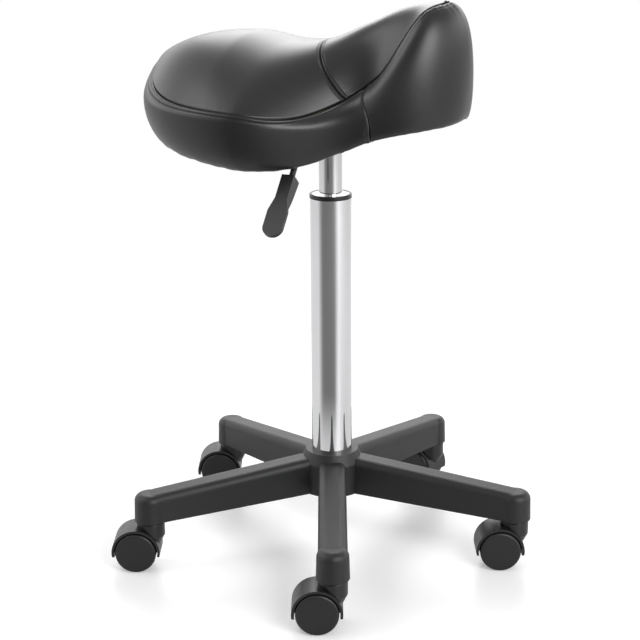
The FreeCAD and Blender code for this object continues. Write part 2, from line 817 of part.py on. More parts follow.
def make_mount_plate():
    plate_bottom, plate_top = plate_levels()
    body = new_body("mount_plate")
    half = size.mount_plate_size / 2
    outline = [(-half, -half, size.mount_plate_corner), (half, -half, size.mount_plate_corner),
               (half, half, size.mount_plate_corner), (-half, half, size.mount_plate_corner)]
    sketch = new_sketch(body, "plate_outline", "XY_Plane", outline, (0, 0, plate_bottom))
    plate = body.newObject("PartDesign::Pad", "plate")
    plate.Profile = sketch
    bind(plate, Length=size.mount_plate_thickness)
    ear_inner = size.lever_radius + size.ear_gap
    ear_drop = plate_bottom - lever_height() + size.pivot_radius * 2
    for name, sign in (("ear_near", -1), ("ear_far", 1)):
        start = ear_inner if sign > 0 else -ear_inner - size.ear_thickness
        ear_sketch = new_sketch(body, name + "_outline", "XY_Plane", [
            (-size.pivot_distance - size.ear_half_length, start),
            (-size.pivot_distance + size.ear_half_length, start),
            (-size.pivot_distance + size.ear_half_length, start + size.ear_thickness),
            (-size.pivot_distance - size.ear_half_length, start + size.ear_thickness)],
            (0, 0, plate_bottom - ear_drop))
        ear = body.newObject("PartDesign::Pad", name)
        ear.Profile = ear_sketch
        bind(ear, Length=ear_drop)
    hole = size.pivot_radius + size.running_gap
    pivot_sketch = body.newObject("Sketcher::SketchObject", "pivot_hole_outline")
    pivot_sketch.AttachmentSupport = [(origin_part(body, "XZ_Plane"), "")]
    pivot_sketch.MapMode = "FlatFace"
    pivot_sketch.AttachmentOffset = FreeCAD.Placement(
        vector(-float(size.pivot_distance), float(lever_height()), 0), FreeCAD.Rotation())
    pivot_sketch.setExpression("AttachmentOffset.Base.x", (-size.pivot_distance).text)
    pivot_sketch.setExpression("AttachmentOffset.Base.y", lever_height().text)
    circle = pivot_sketch.addGeometry(Part.Circle(vector(0, 0, 0), upright, float(hole)), False)
    pivot_sketch.addConstraint(Sketcher.Constraint("Coincident", circle, 3, -1, 1))
    row = pivot_sketch.addConstraint(Sketcher.Constraint("Radius", circle, float(hole)))
    pivot_sketch.setExpression("Constraints[%d]" % row, hole.text)
    drilled = body.newObject("PartDesign::Pocket", "pivot_hole")
    drilled.Profile = pivot_sketch
    drilled.Type = "ThroughAll"
    drilled.Midplane = True
    bolt_hole = revolve(body, "bolt_hole", [
        (0, plate_bottom - 1),
        (size.bolt_radius + size.running_gap, plate_bottom - 1),
        (size.bolt_radius + size.running_gap, plate_top + 1),
        (0, plate_top + 1)], bolt_corner(), "PartDesign::Groove")
    polar(body, "bolt_holes", [bolt_hole], 4)
    keep(body, "mount_plate")


def bolt_corner():
    return (size.bolt_square / 2, 0, size.bolt_square / 2)


def board_levels():
    plate_bottom, plate_top = plate_levels()
    bottom = plate_top + size.dust_thickness
    return bottom, bottom + size.board_thickness


def four_of(label, corners):
    """One turned piece at each corner of the bolt square, in one node."""
    body = new_body(label)
    first = revolve(body, label + "_turned", corners, bolt_corner())
    polar(body, label + "_square", [first], 4)
    keep(body, label)


def make_fasteners():
    plate_bottom, plate_top = plate_levels()
    board_bottom, board_top = board_levels()
    washer_bottom = plate_bottom - size.washer_thickness
    head_bottom = washer_bottom - size.bolt_head_height
    flange_bottom = board_top - size.tee_nut_flange
    four_of("seat_bolts", [
        (0, head_bottom),
        (size.bolt_head_radius, head_bottom, size.bolt_radius / 3),
        (size.bolt_head_radius, washer_bottom),
        (size.bolt_radius, washer_bottom),
        (size.bolt_radius, flange_bottom),
        (0, flange_bottom)])
    four_of("bolt_washers", tube_corners(
        size.bolt_radius, size.washer_radius, washer_bottom, plate_bottom))
    four_of("tee_nuts", [
        (size.bolt_radius, board_bottom),
        (size.tee_nut_barrel, board_bottom),
        (size.tee_nut_barrel, flange_bottom),
        (size.tee_nut_radius, flange_bottom),
        (size.tee_nut_radius, board_top),
        (size.bolt_radius, board_top)])


# Lever: a bent rod on a cross pin, with a moulded paddle

def lever_points():
    """The rod's bends in the XZ plane, from over the release pin out to the handle's foot."""
    height = float(lever_height())
    slope = math.radians(size.lever_bend_angle)
    down = vector(-math.cos(slope), 0, -math.sin(slope))
    inner = vector(float(size.lever_inner_end), 0, height)
    level = vector(-float(size.lever_flat_end), 0, height)
    bend = vector(-float(size.lever_slope_end), 0, height - float(size.lever_slope_drop))
    mouth = bend + down * float(size.lever_tail)
    return inner, level, bend, mouth, down


def bent_path(points, radius):
    """Straight runs joined by tangent arcs, as one wire."""
    edges = []
    here = points[0]
    for before, corner, after in zip(points, points[1:], points[2:]):
        arriving = (corner - before).normalize()
        leaving = (after - corner).normalize()
        reach = radius * math.tan(arriving.getAngle(leaving) / 2)
        start = corner - arriving * reach
        stop = corner + leaving * reach
        inward = (leaving - arriving).normalize()
        centre = corner + inward * math.sqrt(reach ** 2 + radius ** 2)
        edges.append(Part.LineSegment(here, start).toShape())
        edges.append(Part.Arc(start, centre - inward * radius, stop).toShape())
        here = stop
    edges.append(Part.LineSegment(here, points[-1]).toShape())
    return Part.Wire(edges)


def make_lever():
    inner, level, bend, mouth, down = lever_points()
    path = bent_path([inner, level, bend, mouth + down * float(size.handle_overlap)],
                     float(size.lever_bend_radius))
    circle = Part.Wire(Part.Circle(inner, vector(-1, 0, 0), float(size.lever_radius)).toShape())
    rod = path.makePipeShell([circle], True, False)
    hole = Part.makeCylinder(float(size.pivot_radius + size.running_gap), 20,
                             vector(-float(size.pivot_distance), -10, inner.z), across)
    lever = doc.addObject("Part::Feature", "lever_rod")
    lever.Shape = rod.cut(hole)
    keep(lever, "lever_rod")
    pin = new_body("pivot_pin")
    pin_half = size.lever_radius + size.ear_gap + size.ear_thickness
    revolve(pin, "pivot_turned", [(0, -pin_half), (size.pivot_radius, -pin_half),
                                  (size.pivot_radius, pin_half), (0, pin_half)])
    pin.Placement = FreeCAD.Placement(vector(-float(size.pivot_distance), 0, inner.z),
                                      FreeCAD.Rotation(upright, across))
    keep(pin, "pivot_pin")
    make_handle(mouth, down)


def make_handle(mouth, down):
    """A flat paddle with a deep spine that the rod enters; made along its own -Y."""
    body = new_body("lever_handle")
    grip = size.handle_grip_width / 2
    neck = size.handle_neck_width / 2
    flare = size.handle_neck_length + size.handle_flare_length
    sketch = new_sketch(body, "paddle_outline", "XY_Plane", [
        (-neck, 0),
        (-neck, -size.handle_neck_length, grip),
        (-grip, -flare, grip),
        (-grip, -size.handle_length, size.handle_round),
        (grip, -size.handle_length, size.handle_round),
        (grip, -flare, grip),
        (neck, -size.handle_neck_length, grip),
        (neck, 0)])
    paddle = body.newObject("PartDesign::Pad", "paddle")
    paddle.Profile = sketch
    bind(paddle, Length=size.handle_thickness)
    side = new_sketch(body, "spine_outline", "YZ_Plane", [
        (0, size.handle_thickness / 2),
        (0, -size.handle_spine_depth),
        (-size.handle_neck_length, -size.handle_spine_end_depth - size.lever_radius, size.handle_length),
        (-size.handle_spine_length, -size.handle_spine_end_depth / 2),
        (-size.handle_spine_length - size.handle_spine_end_depth, size.handle_thickness / 2)])
    spine = body.newObject("PartDesign::Pad", "spine")
    spine.Profile = side
    spine.Midplane = True
    bind(spine, Length=size.handle_neck_width)
    bore = revolve(body, "rod_bore", [
        (0, -size.handle_overlap),
        (size.lever_radius, -size.handle_overlap),
        (size.lever_radius, size.handle_thickness),
        (0, size.handle_thickness)], (0, 0, -size.lever_depth), "PartDesign::Groove", "XY_Plane")
    body.Tip = bore
    out = vector(down.z, 0, -down.x)
    columns = [vector(0, -1, 0), down * -1, out]
    turn = FreeCAD.Matrix(
        columns[0].x, columns[1].x, columns[2].x, 0,
        columns[0].y, columns[1].y, columns[2].y, 0,
        columns[0].z, columns[1].z, columns[2].z, 0,
        0, 0, 0, 1)
    body.Placement = FreeCAD.Placement(mouth + out * float(size.lever_depth), FreeCAD.Rotation(turn))
    keep(body, "lever_handle")


# Seat board and dust cover: an egg outline bent up towards the nose

def egg_face(rear_radius, nose_radius, height):
    """Two arcs joined by their outer tangents, nose towards -Y."""
    rear = vector(0, float(size.rear_centre), height)
    nose = vector(0, -float(size.nose_centre), height)
    lean = (nose_radius - rear_radius) / (rear.y - nose.y)
    side = vector(math.sqrt(1 - lean ** 2), lean, 0)
    mirror = vector(-side.x, side.y, 0)
    edges = [
        Part.Arc(rear + side * rear_radius, rear + vector(0, rear_radius, 0), rear + mirror * rear_radius),
        Part.LineSegment(rear + mirror * rear_radius, nose + mirror * nose_radius),
        Part.Arc(nose + mirror * nose_radius, nose - vector(0, nose_radius, 0), nose + side * nose_radius),
        Part.LineSegment(nose + side * nose_radius, rear + side * rear_radius)]
    return Part.Face(Part.Wire([edge.toShape() for edge in edges]))


def bent_slab(rear_radius, nose_radius, drop, thickness):
    """A board-shaped slab whose underside lies this far below the board's."""
    bottom, top = board_levels()
    hub = vector(0, -float(size.board_flat_reach), float(bottom + size.board_bend_radius))
    swing = math.asin(size.board_bend_reach / size.board_bend_radius)
    rear = float(size.rear_centre + size.rear_radius + size.board_flat_reach)

    def ends(radius):
        half = vector(0, -math.sin(swing / 2), -math.cos(swing / 2)) * radius
        full = vector(0, -math.sin(swing), -math.cos(swing)) * radius
        return hub - vector(0, 0, radius), hub + half, hub + full

    low, low_mid, low_end = ends(float(size.board_bend_radius + drop))
    high, high_mid, high_end = ends(float(size.board_bend_radius + drop - thickness))
    back = vector(0, rear, 0)
    edges = [
        Part.LineSegment(low + back, low), Part.Arc(low, low_mid, low_end),
        Part.LineSegment(low_end, high_end), Part.Arc(high_end, high_mid, high),
        Part.LineSegment(high, high + back), Part.LineSegment(high + back, low + back)]
    profile = Part.Face(Part.Wire([edge.toShape() for edge in edges]))
    wide = float(size.rear_radius)
    profile.translate(vector(-wide, 0, 0))
    strip = profile.extrude(vector(wide * 2, 0, 0))
    reach = float(size.nose_height)
    plan = egg_face(float(rear_radius), float(nose_radius), 0).extrude(vector(0, 0, reach * 2))
    return strip.common(plan)


def bolt_drills(radius, bottom, top):
    half = float(size.bolt_square / 2)
    spots = [(half, half), (-half, half), (-half, -half), (half, -half)]
    drills = [Part.makeCylinder(float(radius), float(top - bottom), vector(x, y, float(bottom)))
              for x, y in spots]
    return Part.makeCompound(drills)


def set_shape(label, shape):
    item = doc.addObject("Part::Feature", label)
    item.Shape = shape.Solids[0] if len(shape.Solids) == 1 else shape
    return keep(item, label)


def make_board():
    bottom, top = board_levels()
    board = bent_slab(size.board_rear_radius, size.board_nose_radius, Size(0), size.board_thickness)
    board = board.cut(bolt_drills(size.tee_nut_barrel, bottom - 1, top + 1))
    board = board.cut(bolt_drills(size.tee_nut_radius, top - size.tee_nut_flange, top + 1))
    set_shape("seat_board", board)
    dust = bent_slab(size.board_rear_radius, size.board_nose_radius, size.dust_thickness,
                     size.dust_thickness)
    dust = dust.cut(bolt_drills(size.bolt_radius + size.running_gap, bottom - 2, bottom + 1))
    set_shape("dust_cover", dust)


# Saddle cushion: closed lofts through cross sections along the seat

def blend(share):
    share = min(1.0, max(0.0, share))
    return (1 - math.cos(math.pi * share)) / 2


def between(start, stop, share):
    return float(start) + (float(stop) - float(start)) * blend(share)


def plan_half_width(along, rear_radius, nose_radius):
    """Half width between the two end arcs; along is positive towards the nose."""
    share = (along + size.rear_centre) / (size.rear_centre + size.nose_centre)
    return between(rear_radius, nose_radius, share)


def crown_height(along):
    if along < -size.valley_position:
        share = (along + size.dome_position) / (size.dome_position - size.valley_position)
        return between(size.dome_height, size.valley_height, share)
    nose_tip = size.nose_centre + size.nose_seam_radius
    share = (along + size.valley_position) / (nose_tip + size.valley_position)
    return between(size.valley_height, size.nose_height, share)


def seam_height(along):
    if along < -size.seam_flank_position:
        rear_end = size.rear_centre + size.rear_seam_radius
        share = (-along - size.seam_flank_position) / (rear_end - size.seam_flank_position)
        rise = float(size.seam_rear_height - size.seam_flank_height)
        return float(size.seam_flank_height) + rise * min(1.0, share) ** 2
    nose_tip = size.nose_centre + size.nose_seam_radius
    share = (along + size.seam_flank_position) / (nose_tip + size.seam_flank_position)
    return between(size.seam_flank_height, size.nose_height, min(1.0, share) ** float(size.seam_curl))


def belly_height(along):
    share = (along + size.rear_centre) / (size.rear_centre + size.nose_centre)
    return between(size.belly_rear_height, size.belly_nose_height, share)


def rim_height(along):
    share = along / (size.nose_centre + size.nose_radius)
    return between(size.rim_rear_height, size.rim_nose_height, share)


def saddle_section(along, spread, height_share, inset):
    """One closed cross section in lines and arcs, shrunk by the inset."""
    inset = float(inset)
    middle = belly_height(along)
    crown = middle + (crown_height(along) - middle) * height_share - inset
    highest_seam = crown_height(along) - float(size.crown_least_rise)
    seam = middle + (min(seam_height(along), highest_seam) - middle) * height_share - inset / 2
    rim = middle + (rim_height(along) - middle) * height_share + inset
    belly = plan_half_width(along, size.rear_radius, size.nose_radius) * spread - inset
    shoulder = plan_half_width(along, size.rear_seam_radius, size.nose_seam_radius) * spread - inset
    foot = plan_half_width(along, size.rear_radius - size.rim_rear_inset,
                           size.nose_radius - size.rim_nose_inset) * spread - inset

    def place(sideways, height):
        return vector(sideways, -along, height)

    def on_crown(share):
        full = float(size.crown_fullness)
        return seam + (crown - seam) * (1 - share ** full) ** (1 / full)

    diagonal = math.sqrt(0.5)
    flat_share = float(size.crown_flat_share)
    turn_share = float(size.crown_turn_share)
    outer_x = shoulder + (belly - shoulder) * diagonal
    outer_z = middle + (seam - middle) * diagonal
    lower_x = foot + (belly - foot) * diagonal
    lower_z = middle + (rim - middle) * diagonal
    right = [
        (place(foot, rim), place(lower_x, lower_z), place(belly, middle)),
        (place(belly, middle), place(outer_x, outer_z), place(shoulder, seam)),
        (place(shoulder, seam), place(shoulder * turn_share, on_crown(turn_share)),
         place(shoulder * flat_share, on_crown(flat_share)))]
    edges = [Part.Arc(*points) for points in right]
    edges.append(Part.Arc(place(shoulder * flat_share, on_crown(flat_share)), place(0, crown),
                          place(-shoulder * flat_share, on_crown(flat_share))))
    for points in reversed(right):
        mirrored = [vector(-point.x, point.y, point.z) for point in reversed(points)]
        edges.append(Part.Arc(*mirrored))
    edges.append(Part.LineSegment(place(-foot, rim), place(foot, rim)))
    return Part.Wire([edge.toShape() for edge in edges])


def saddle_loft(inset):
    """The whole saddle as one closed solid, drawn in all round by the inset."""
    cap_angles = (84, 66, 44, 20)  # degrees round each end, from its tip inwards
    middle_count = 4
    full = float(size.end_fullness)
    stations = []
    for degrees in cap_angles:
        turn = math.radians(degrees)
        along = -size.rear_centre - (size.rear_radius - inset) * math.sin(turn)
        stations.append((along, math.cos(turn), (1 - math.sin(turn) ** full) ** (1 / full)))
    for i in range(middle_count + 1):
        share = i / middle_count
        along = -size.rear_centre + (size.rear_centre + size.nose_centre) * share
        stations.append((along, 1, 1))
    for degrees in reversed(cap_angles):
        turn = math.radians(degrees)
        along = size.nose_centre + (size.nose_radius - inset) * math.sin(turn)
        stations.append((along, math.cos(turn), (1 - math.sin(turn) ** full) ** (1 / full)))
    sections = [saddle_section(float(along), spread, height_share, inset)
                for along, spread, height_share in stations]
    return Part.makeLoft(sections, True, False)


def make_cushion():
    gap = size.board_gap
    reach = size.nose_height - size.rim_rear_height
    recess = bent_slab(size.board_rear_radius + gap, size.board_nose_radius + gap,
                       reach, reach + size.board_thickness + gap)
    outer = saddle_loft(Size(0))
    inner = saddle_loft(size.cover_thickness)
    set_shape("seat_cover", outer.cut(inner).cut(recess))
    foam = saddle_loft(size.cover_thickness + size.foam_gap).cut(recess)
    set_shape("seat_foam", foam)


def main():
    make_star_base()
    make_stems()
    for number in range(int(size.arm_count)):
        make_castor(number)
    shoulder = make_column()
    make_gas_spring(shoulder)
    make_socket()
    make_mount_plate()
    make_fasteners()
    make_lever()
    make_board()
    make_cushion()


main()
doc.recompute()
for item in doc.Objects:
    bad = [word for word in item.State if word in ("Invalid", "Error")]
    if bad:
        raise RuntimeError("%s is %s" % (item.Name, bad))
for item in nodes:
    if item.Shape.isNull() or not item.Shape.isValid():
        raise RuntimeError("%s has no valid shape" % item.Label)
os.makedirs("parts", exist_ok=True)
for item in nodes:
    item.Shape.exportStep("parts/%s.step" % item.Label)
    print(item.Label, len(item.Shape.Solids), round(item.Shape.Volume))
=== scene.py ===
import json
import math

import bmesh
import bpy
import numpy as np
from mathutils import Matrix, Vector


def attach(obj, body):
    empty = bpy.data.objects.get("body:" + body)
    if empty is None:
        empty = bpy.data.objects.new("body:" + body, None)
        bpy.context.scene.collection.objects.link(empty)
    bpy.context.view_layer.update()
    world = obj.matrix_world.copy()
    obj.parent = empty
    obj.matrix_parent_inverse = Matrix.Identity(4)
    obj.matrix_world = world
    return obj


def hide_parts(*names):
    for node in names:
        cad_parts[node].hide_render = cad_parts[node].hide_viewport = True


# Saddle stool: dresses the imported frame. Metres, +Z up, seat nose towards -Y.

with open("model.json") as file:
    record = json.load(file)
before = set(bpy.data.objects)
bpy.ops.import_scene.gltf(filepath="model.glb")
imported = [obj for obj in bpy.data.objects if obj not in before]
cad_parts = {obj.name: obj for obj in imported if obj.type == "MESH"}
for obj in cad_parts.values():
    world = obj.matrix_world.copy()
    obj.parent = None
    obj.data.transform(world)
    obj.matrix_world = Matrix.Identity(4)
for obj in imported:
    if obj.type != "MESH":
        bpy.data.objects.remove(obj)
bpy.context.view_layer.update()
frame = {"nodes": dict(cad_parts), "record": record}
scene = bpy.context.scene
print("stage: frame loaded")


# Camera, at the photograph's viewing angle

cameraPlace = {
    "across": -1.6710, "along": -0.7073, "height": 0.8430,
    "heading": -66.62, "tilt": 73.19, "roll": -0.444,
    "lens": 86.65, "sensor": 36.0,
}


def makeCamera():
    data = bpy.data.cameras.new("camera")
    data.lens = cameraPlace["lens"]
    data.sensor_width = cameraPlace["sensor"]
    camera = bpy.data.objects.new("camera", data)
    scene.collection.objects.link(camera)
    turn = (Matrix.Rotation(math.radians(cameraPlace["heading"]), 4, "Z")
            @ Matrix.Rotation(math.radians(cameraPlace["tilt"]), 4, "X")
            @ Matrix.Rotation(math.radians(cameraPlace["roll"]), 4, "Z"))
    place = Matrix.Translation(
        (cameraPlace["across"], cameraPlace["along"], cameraPlace["height"]))
    camera.matrix_world = place @ turn
    scene.camera = camera


makeCamera()


# Node helpers

def plug(tree, value, socket):
    if isinstance(value, (int, float)):
        socket.default_value = value
    else:
        tree.links.new(value, socket)


def addMath(tree, operation, first, second=None, third=None):
    node = tree.nodes.new("ShaderNodeMath")
    node.operation = operation
    for i, value in enumerate((first, second, third)):
        if value is not None:
            plug(tree, value, node.inputs[i])
    return node.outputs[0]


def addVectorMath(tree, operation, vector):
    node = tree.nodes.new("ShaderNodeVectorMath")
    node.operation = operation
    tree.links.new(vector, node.inputs[0])
    return node


def addRamp(tree, value, low, high, bottom=0.0, top=1.0):
    node = tree.nodes.new("ShaderNodeMapRange")
    node.interpolation_type = "SMOOTHSTEP"
    bounds = {"From Min": low, "From Max": high, "To Min": bottom, "To Max": top}
    for label, bound in bounds.items():
        node.inputs[label].default_value = bound
    tree.links.new(value, node.inputs["Value"])
    return node.outputs["Result"]


def addMix(tree, share, first, second):
    node = tree.nodes.new("ShaderNodeMix")
    for place, value in ((0, share), (2, first), (3, second)):
        plug(tree, value, node.inputs[place])
    return node.outputs[0]


def newMaterial(name):
    material = bpy.data.materials.new(name)
    material.use_nodes = True
    return material, material.node_tree, material.node_tree.nodes["Principled BSDF"]


# Studio: pale world, soft lamps and a white floor that keeps the shadow

studio = {
    # the room is dark in front, as the chrome shows it, and white behind
    "awayFromDark": (0.990, 0.139, 0.0),
    "ambient": 0.55, "seenWhite": 1.25, "whiteBack": 0.85, "darkFront": 0.24,
    "darkUntil": -0.9, "whiteFrom": -0.45, "skyFrom": 0.75, "skyGlow": 0.8,
    "skylineFull": 0.2, "skylineGain": 3.0, "skylineEnd": (0.3, 0.58), "skylineRest": 0.3,
    # floor: size and surface, the painted dark part in front that only mirrors see (a painted
    # reflection of a dark room), and the fade to white far off
    "floorSize": 14.0, "floorColour": 0.88, "floorRoughness": 0.32, "floorSpecular": 0.35,
    "floorLift": 0.24, "floorPaintedDark": 0.20, "paintedDarkFrom": 0.34, "paintedDarkFull": 0.62,
    "fadeFrom": 0.75, "fadeFull": 2.2,
}
lampTable = {
    "key": {"place": (-0.6, 1.5, 2.1), "size": 1.5, "power": 15.0},
    "fill": {"place": (-1.2, -2.0, 1.5), "size": 1.6, "power": 40.0},
    "back": {"place": (1.9, 0.8, 1.75), "size": 1.5, "power": 18.0},
}
lampAim = (0, 0, 0.4)


def addFacing(tree, heading):
    # from -1 towards the dark front of the room to 1 away from it
    node = addVectorMath(tree, "DOT_PRODUCT", heading)
    node.inputs[1].default_value = studio["awayFromDark"]
    return node.outputs["Value"]


def makeWorld():
    # mirrors see a bright skyline with a dark front, the camera sees white, the rest an even glow
    world = bpy.data.worlds.new("studio")
    scene.world = world
    world.use_nodes = True
    tree = world.node_tree
    tree.nodes.clear()
    coords = tree.nodes.new("ShaderNodeTexCoord").outputs["Generated"]
    split = tree.nodes.new("ShaderNodeSeparateXYZ")
    tree.links.new(coords, split.inputs[0])
    height = split.outputs["Z"]
    sides = addRamp(tree, addFacing(tree, coords), studio["darkUntil"], studio["whiteFrom"],
                    studio["darkFront"], studio["whiteBack"])
    above = addRamp(tree, height, studio["skyFrom"], 1.0, 0.0, studio["skyGlow"])
    raised = addRamp(tree, height, 0.0, studio["skylineFull"], 1.0, studio["skylineGain"])
    falling = addRamp(tree, height, *studio["skylineEnd"], 1.0, studio["skylineRest"])
    skyline = addMath(tree, "MULTIPLY", sides, addMath(tree, "MULTIPLY", raised, falling))
    mirrored = addMath(tree, "MAXIMUM", skyline, above)
    path = tree.nodes.new("ShaderNodeLightPath").outputs
    glow = addMix(tree, path["Is Glossy Ray"], studio["ambient"], mirrored)
    seen = addMath(tree, "MAXIMUM", path["Is Camera Ray"], path["Is Transmission Ray"])
    background = tree.nodes.new("ShaderNodeBackground")
    tree.links.new(addMix(tree, seen, glow, studio["seenWhite"]), background.inputs["Strength"])
    output = tree.nodes.new("ShaderNodeOutputWorld")
    tree.links.new(background.outputs[0], output.inputs["Surface"])


def makeLamps():
    for name, lamp in lampTable.items():
        data = bpy.data.lights.new(name, "AREA")
        data.shape = "DISK"
        data.size = lamp["size"]
        data.energy = lamp["power"]
        light = bpy.data.objects.new(name, data)
        scene.collection.objects.link(light)
        place = Vector(lamp["place"])
        light.location = place
        light.rotation_euler = (Vector(lampAim) - place).to_track_quat("-Z", "Y").to_euler()


def makeFloor():
    # white and lit near the object; in front its colour is painted dark for mirrors only, a painted
    # reflection of a dark room; the camera sees white far off
    half = studio["floorSize"] / 2
    mesh = bpy.data.meshes.new("floor")
    mesh.from_pydata([(-half, -half, 0), (half, -half, 0), (half, half, 0), (-half, half, 0)],
                     [], [(0, 1, 2, 3)])
    floor = bpy.data.objects.new("floor", mesh)
    scene.collection.objects.link(floor)
    material, tree, shader = newMaterial("floorWhite")
    shader.inputs["Roughness"].default_value = studio["floorRoughness"]
    shader.inputs["Specular IOR Level"].default_value = studio["floorSpecular"]
    coords = tree.nodes.new("ShaderNodeTexCoord").outputs["Object"]
    away = addVectorMath(tree, "LENGTH", coords).outputs["Value"]
    heading = addVectorMath(tree, "NORMALIZE", coords).outputs["Vector"]
    path = tree.nodes.new("ShaderNodeLightPath").outputs
    # painted reflection: the floor's colour is painted dark in front of the object and a little way
    # off, and only glossy rays see it
    front = addRamp(tree, addFacing(tree, heading), studio["whiteFrom"], studio["darkUntil"])
    beyond = addRamp(tree, away, studio["paintedDarkFrom"], studio["paintedDarkFull"])
    dark = addMath(tree, "MULTIPLY", front, beyond)
    mirrored = addMath(tree, "MULTIPLY", dark, path["Is Glossy Ray"])
    paint = addMix(tree, mirrored, studio["floorColour"], studio["floorPaintedDark"])
    tree.links.new(paint, shader.inputs["Base Color"])
    glow = tree.nodes.new("ShaderNodeEmission")
    lift = addMath(tree, "MULTIPLY", path["Is Camera Ray"], studio["floorLift"])
    tree.links.new(lift, glow.inputs["Strength"])
    both = tree.nodes.new("ShaderNodeAddShader")
    tree.links.new(shader.outputs[0], both.inputs[0])
    tree.links.new(glow.outputs[0], both.inputs[1])
    far = addRamp(tree, away, studio["fadeFrom"], studio["fadeFull"])
    white = tree.nodes.new("ShaderNodeEmission")
    shown = tree.nodes.new("ShaderNodeMixShader")
    tree.links.new(addMath(tree, "MULTIPLY", far, path["Is Camera Ray"]), shown.inputs[0])
    tree.links.new(both.outputs[0], shown.inputs[1])
    tree.links.new(white.outputs[0], shown.inputs[2])
    tree.links.new(shown.outputs[0], tree.nodes["Material Output"].inputs["Surface"])
    mesh.materials.append(material)


makeWorld()
makeLamps()
makeFloor()
scene.view_settings.view_transform = "Standard"
print("stage: camera and studio")


# Shared surface effects, each built once and placed with its own values

def newGroup(name, inputs, outputs):
    group = bpy.data.node_groups.new(name, "ShaderNodeTree")
    for label, value in inputs.items():
        socket = group.interface.new_socket(label, in_out="INPUT", socket_type="NodeSocketFloat")
        socket.default_value = value
    for label in outputs:
        group.interface.new_socket(label, in_out="OUTPUT", socket_type="NodeSocketFloat")
    entry = group.nodes.new("NodeGroupInput")
    leave = group.nodes.new("NodeGroupOutput")
    return group, entry, leave


def addNoise(tree, coords, scale, detail=3.0, roughness=0.5):
    node = tree.nodes.new("ShaderNodeTexNoise")
    tree.links.new(coords, node.inputs["Vector"])
    plug(tree, scale, node.inputs["Scale"])
    node.inputs["Detail"].default_value = detail
    node.inputs["Roughness"].default_value = roughness
    return node.outputs["Fac"]


def addCells(tree, coords, scale, feature="F1"):
    node = tree.nodes.new("ShaderNodeTexVoronoi")
    node.feature = feature
    tree.links.new(coords, node.inputs["Vector"])
    plug(tree, scale, node.inputs["Scale"])
    return node.outputs["Distance"]


def makeHideGrain():
    # pebbled skin of coated fabric: small cells with soft valleys, and slow waves under them
    group, entry, leave = newGroup(
        "hideGrain", {"Cells": 900.0, "Depth": 1.0, "Waves": 0.5}, ["Height", "Shine"])
    coords = group.nodes.new("ShaderNodeTexCoord").outputs["Object"]
    cells = addCells(group, coords, entry.outputs["Cells"], "SMOOTH_F1")
    fine = addNoise(group, coords, entry.outputs["Cells"], 2.0)
    slow = addNoise(group, coords, 26.0, 2.0)
    pebble = addMath(group, "MULTIPLY", cells, entry.outputs["Depth"])
    pebble = addMath(group, "MULTIPLY_ADD", fine, 0.35, pebble)
    height = addMath(group, "MULTIPLY_ADD", slow, entry.outputs["Waves"], pebble)
    group.links.new(height, leave.inputs["Height"])
    cloudy = addNoise(group, coords, 9.0, 4.0, 0.6)
    group.links.new(addMath(group, "SUBTRACT", cloudy, 0.5), leave.inputs["Shine"])
    return group


def makeMouldStipple():
    # spark-eroded mould skin: very fine random pits, slightly uneven gloss
    group, entry, leave = newGroup(
        "mouldStipple", {"Scale": 1500.0, "Uneven": 14.0}, ["Height", "Shine"])
    coords = group.nodes.new("ShaderNodeTexCoord").outputs["Object"]
    pits = addNoise(group, coords, entry.outputs["Scale"], 3.0, 0.65)
    coarse = addMath(group, "MULTIPLY", entry.outputs["Scale"], 0.4)
    second = addNoise(group, coords, coarse, 2.0)
    group.links.new(addMath(group, "MULTIPLY_ADD", second, 0.5, pits), leave.inputs["Height"])
    patches = addNoise(group, coords, entry.outputs["Uneven"], 4.0, 0.6)
    group.links.new(addMath(group, "SUBTRACT", patches, 0.5), leave.inputs["Shine"])
    return group


def makeDustVeil():
    # pale dust that settles thinly and in patches
    group, entry, leave = newGroup("dustVeil", {"Amount": 0.2, "Patch": 30.0}, ["Mask"])
    coords = group.nodes.new("ShaderNodeTexCoord").outputs["Object"]
    facing = group.nodes.new("ShaderNodeNewGeometry")
    split = group.nodes.new("ShaderNodeSeparateXYZ")
    group.links.new(facing.outputs["Normal"], split.inputs[0])
    up = addMath(group, "MAXIMUM", split.outputs["Z"], 0.0)
    patches = addNoise(group, coords, entry.outputs["Patch"], 5.0, 0.7)
    specks = addNoise(group, coords, 700.0, 2.0, 0.6)
    speckled = addMath(group, "MULTIPLY", patches, specks)
    settled = addMath(group, "MULTIPLY", up, speckled)
    mask = addMath(group, "MULTIPLY", settled, entry.outputs["Amount"])
    group.links.new(mask, leave.inputs["Mask"])
    return group


def makeRubMarks():
    # fine crossing scratches and wiped patches for metal
    group, entry, leave = newGroup("rubMarks", {"Scale": 60.0, "Stretch": 14.0}, ["Mask", "Height"])
    coords = group.nodes.new("ShaderNodeTexCoord").outputs["Object"]
    mapping = group.nodes.new("ShaderNodeMapping")
    group.links.new(coords, mapping.inputs["Vector"])
    mapping.inputs["Scale"].default_value = (1, 1, 0.07)
    fine = addMath(group, "MULTIPLY", entry.outputs["Scale"], entry.outputs["Stretch"])
    marks = addNoise(group, mapping.outputs["Vector"], fine, 2.0)
    patches = addNoise(group, coords, entry.outputs["Scale"], 3.0)
    group.links.new(addMath(group, "MULTIPLY", marks, patches), leave.inputs["Mask"])
    group.links.new(marks, leave.inputs["Height"])
    return group


hideGrain = makeHideGrain()
mouldStipple = makeMouldStipple()
dustVeil = makeDustVeil()
rubMarks = makeRubMarks()


# Materials

def placeGroup(tree, group, **values):
    node = tree.nodes.new("ShaderNodeGroup")
    node.node_tree = group
    for label, value in values.items():
        node.inputs[label].default_value = value
    return node


